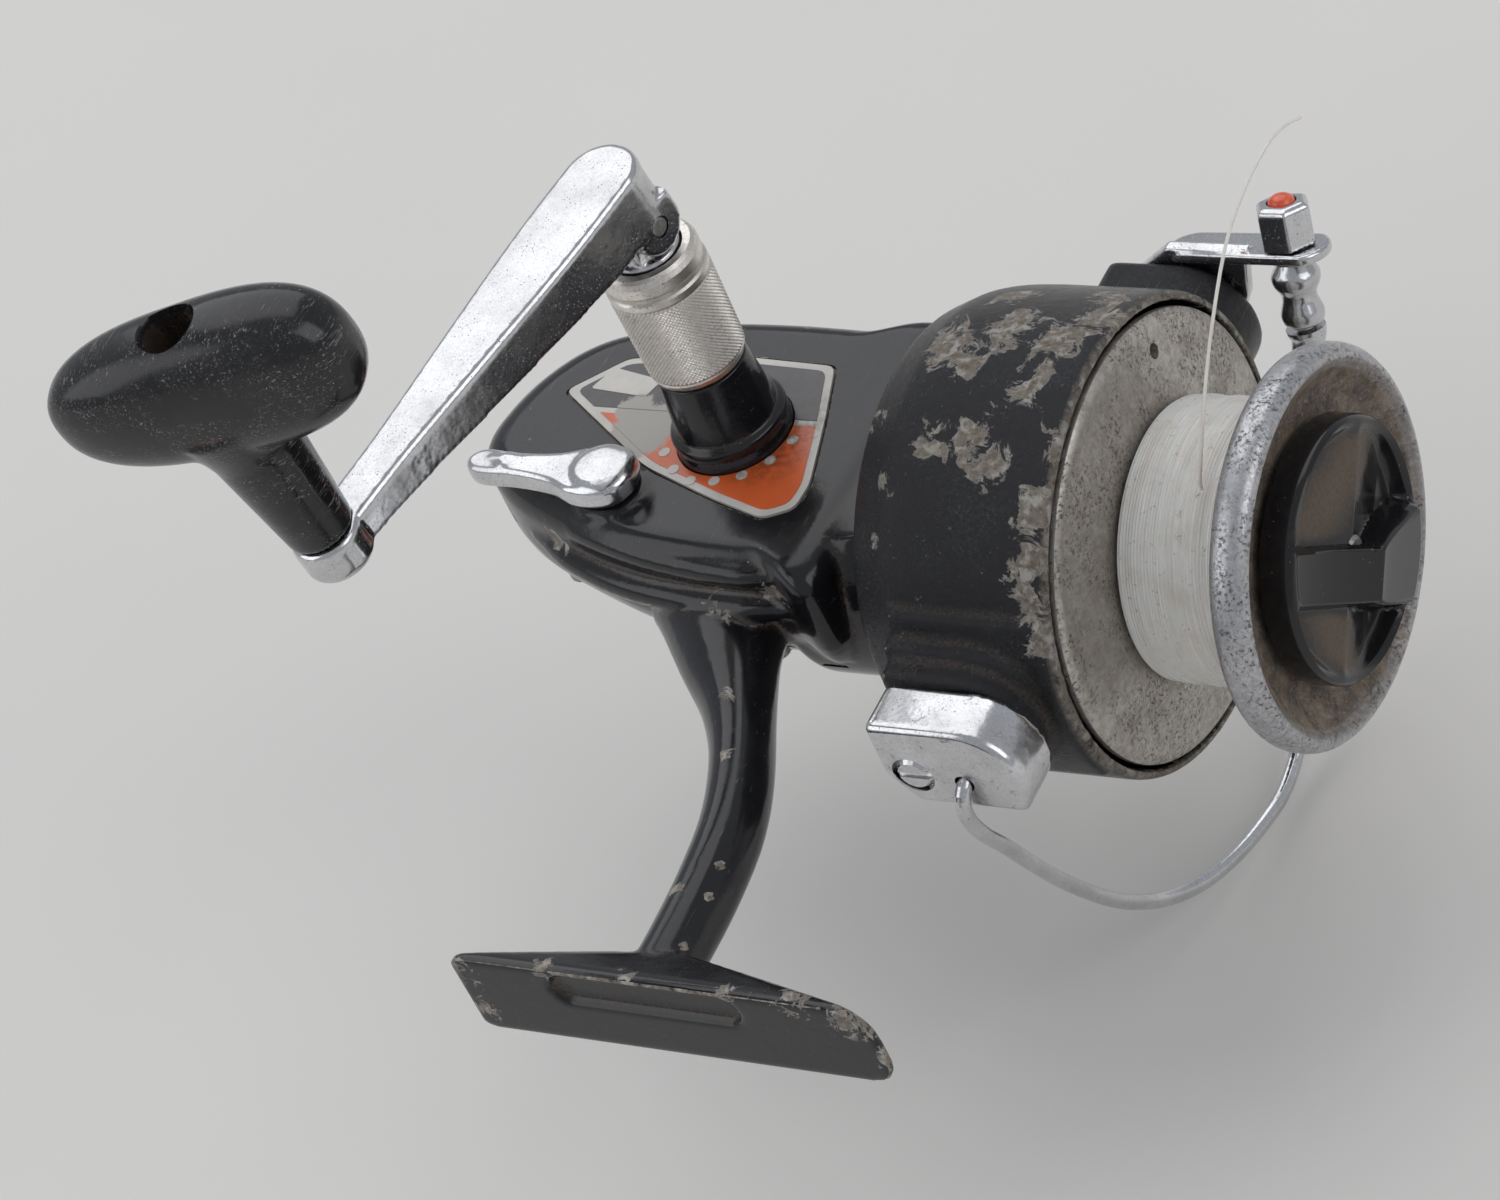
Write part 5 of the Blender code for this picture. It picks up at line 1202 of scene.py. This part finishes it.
class REEL_OT_drag_knob(Operator):
    """Moulds the drag knob on the front of the spool"""
    bl_idname = "reel.drag_knob"
    bl_label = "Drag knob"

    def execute(self, context):
        profile = [(52.0, 0), (52.0, 6.6), (50.0, 6.6), (50.0, 15.9), (50.2, 16.2), (50.7, 16.4), (53.5, 16.4),
                   (54.2, 16.25), (54.6, 15.9), (54.8, 15.4)]
        profile += [(54.8, 15.4 * (1 - i / 56)) for i in range(1, 56)] + [(54.8, 0)]
        knob = turned(profile, steps=200)
        for vert in knob.verts:
            x, y, z = vert.co
            if x > 54.7:
                vert.co.x += drag_height(y * math.cos(DRAG_TILT) + z * math.sin(DRAG_TILT),
                                         -y * math.sin(DRAG_TILT) + z * math.cos(DRAG_TILT))
        knob = worked(knob, cutters=[turned(rod(2.05, 50, 54.9), steps=32)])
        finished("drag_dial", knob, known("drag_plastic", drag_plastic), "drag", "drag_knob", slot="black_plastic",
                 angle=50)
        return {"FINISHED"}


class REEL_OT_inner_parts(Operator):
    """Gives the gears, shafts, washers and screws their finishes"""
    bl_idname = "reel.inner_parts"
    bl_label = "Inner parts"

    def execute(self, context):
        finishes = {
            steel: ("cover_screw_1", "cover_screw_2", "cover_screw_3", "cover_screw_4", "pinion_bearing",
                    "drive_stud", "ratchet_wheel", "drive_shaft", "crank_pin", "knob_spindle", "bail_spring",
                    "roller_screw", "main_shaft", "click_gear", "drag_washer_1", "drag_washer_3",
                    "anti_reverse_pawl"),
            brass: ("drive_bushing", "drive_gear", "pinion_gear", "rotor_nut", "crosshead", "drag_nut"),
            rusty_chrome: ("bail_pivot_screw_lower", "bail_pivot_screw_upper"),
            felt: ("drag_washer_2",),
        }
        for finish, names in finishes.items():
            for name in names:
                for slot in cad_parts[name].material_slots:
                    slot.material = finish()
        return {"FINISHED"}


OPERATORS = (REEL_OT_stage, REEL_OT_free_line, REEL_OT_housing, REEL_OT_gear_cover, REEL_OT_badge, REEL_OT_lever,
             REEL_OT_sleeve, REEL_OT_crank, REEL_OT_handle, REEL_OT_rotor, REEL_OT_bail, REEL_OT_spool,
             REEL_OT_drag_knob, REEL_OT_inner_parts)


class REEL_PT_panel(Panel):
    """Lists the reel's sizes, colours and pieces"""
    bl_idname = "REEL_PT_panel"
    bl_label = "Spinning reel"
    bl_space_type = "VIEW_3D"
    bl_region_type = "UI"
    bl_category = "Reel"

    def draw(self, context):
        for group in (context.scene.reel_sizes, context.scene.reel_colours):
            column = self.layout.column(align=True)
            for name in group.__annotations__:
                column.prop(group, name)
        column = self.layout.column(align=True)
        for operator in OPERATORS:
            column.operator(operator.bl_idname)


CLASSES = (ReelSizes, ReelColours) + OPERATORS + (REEL_PT_panel,)


def register():
    for cls in CLASSES:
        bpy.utils.register_class(cls)
    bpy.types.Scene.reel_sizes = PointerProperty(type=ReelSizes)
    bpy.types.Scene.reel_colours = PointerProperty(type=ReelColours)


def unregister():
    del bpy.types.Scene.reel_colours
    del bpy.types.Scene.reel_sizes
    for cls in reversed(CLASSES):
        bpy.utils.unregister_class(cls)


def main():
    register()
    for operator in OPERATORS:
        group, name = operator.bl_idname.split(".")
        getattr(getattr(bpy.ops, group), name)()


if __name__ == "__main__":
    main()
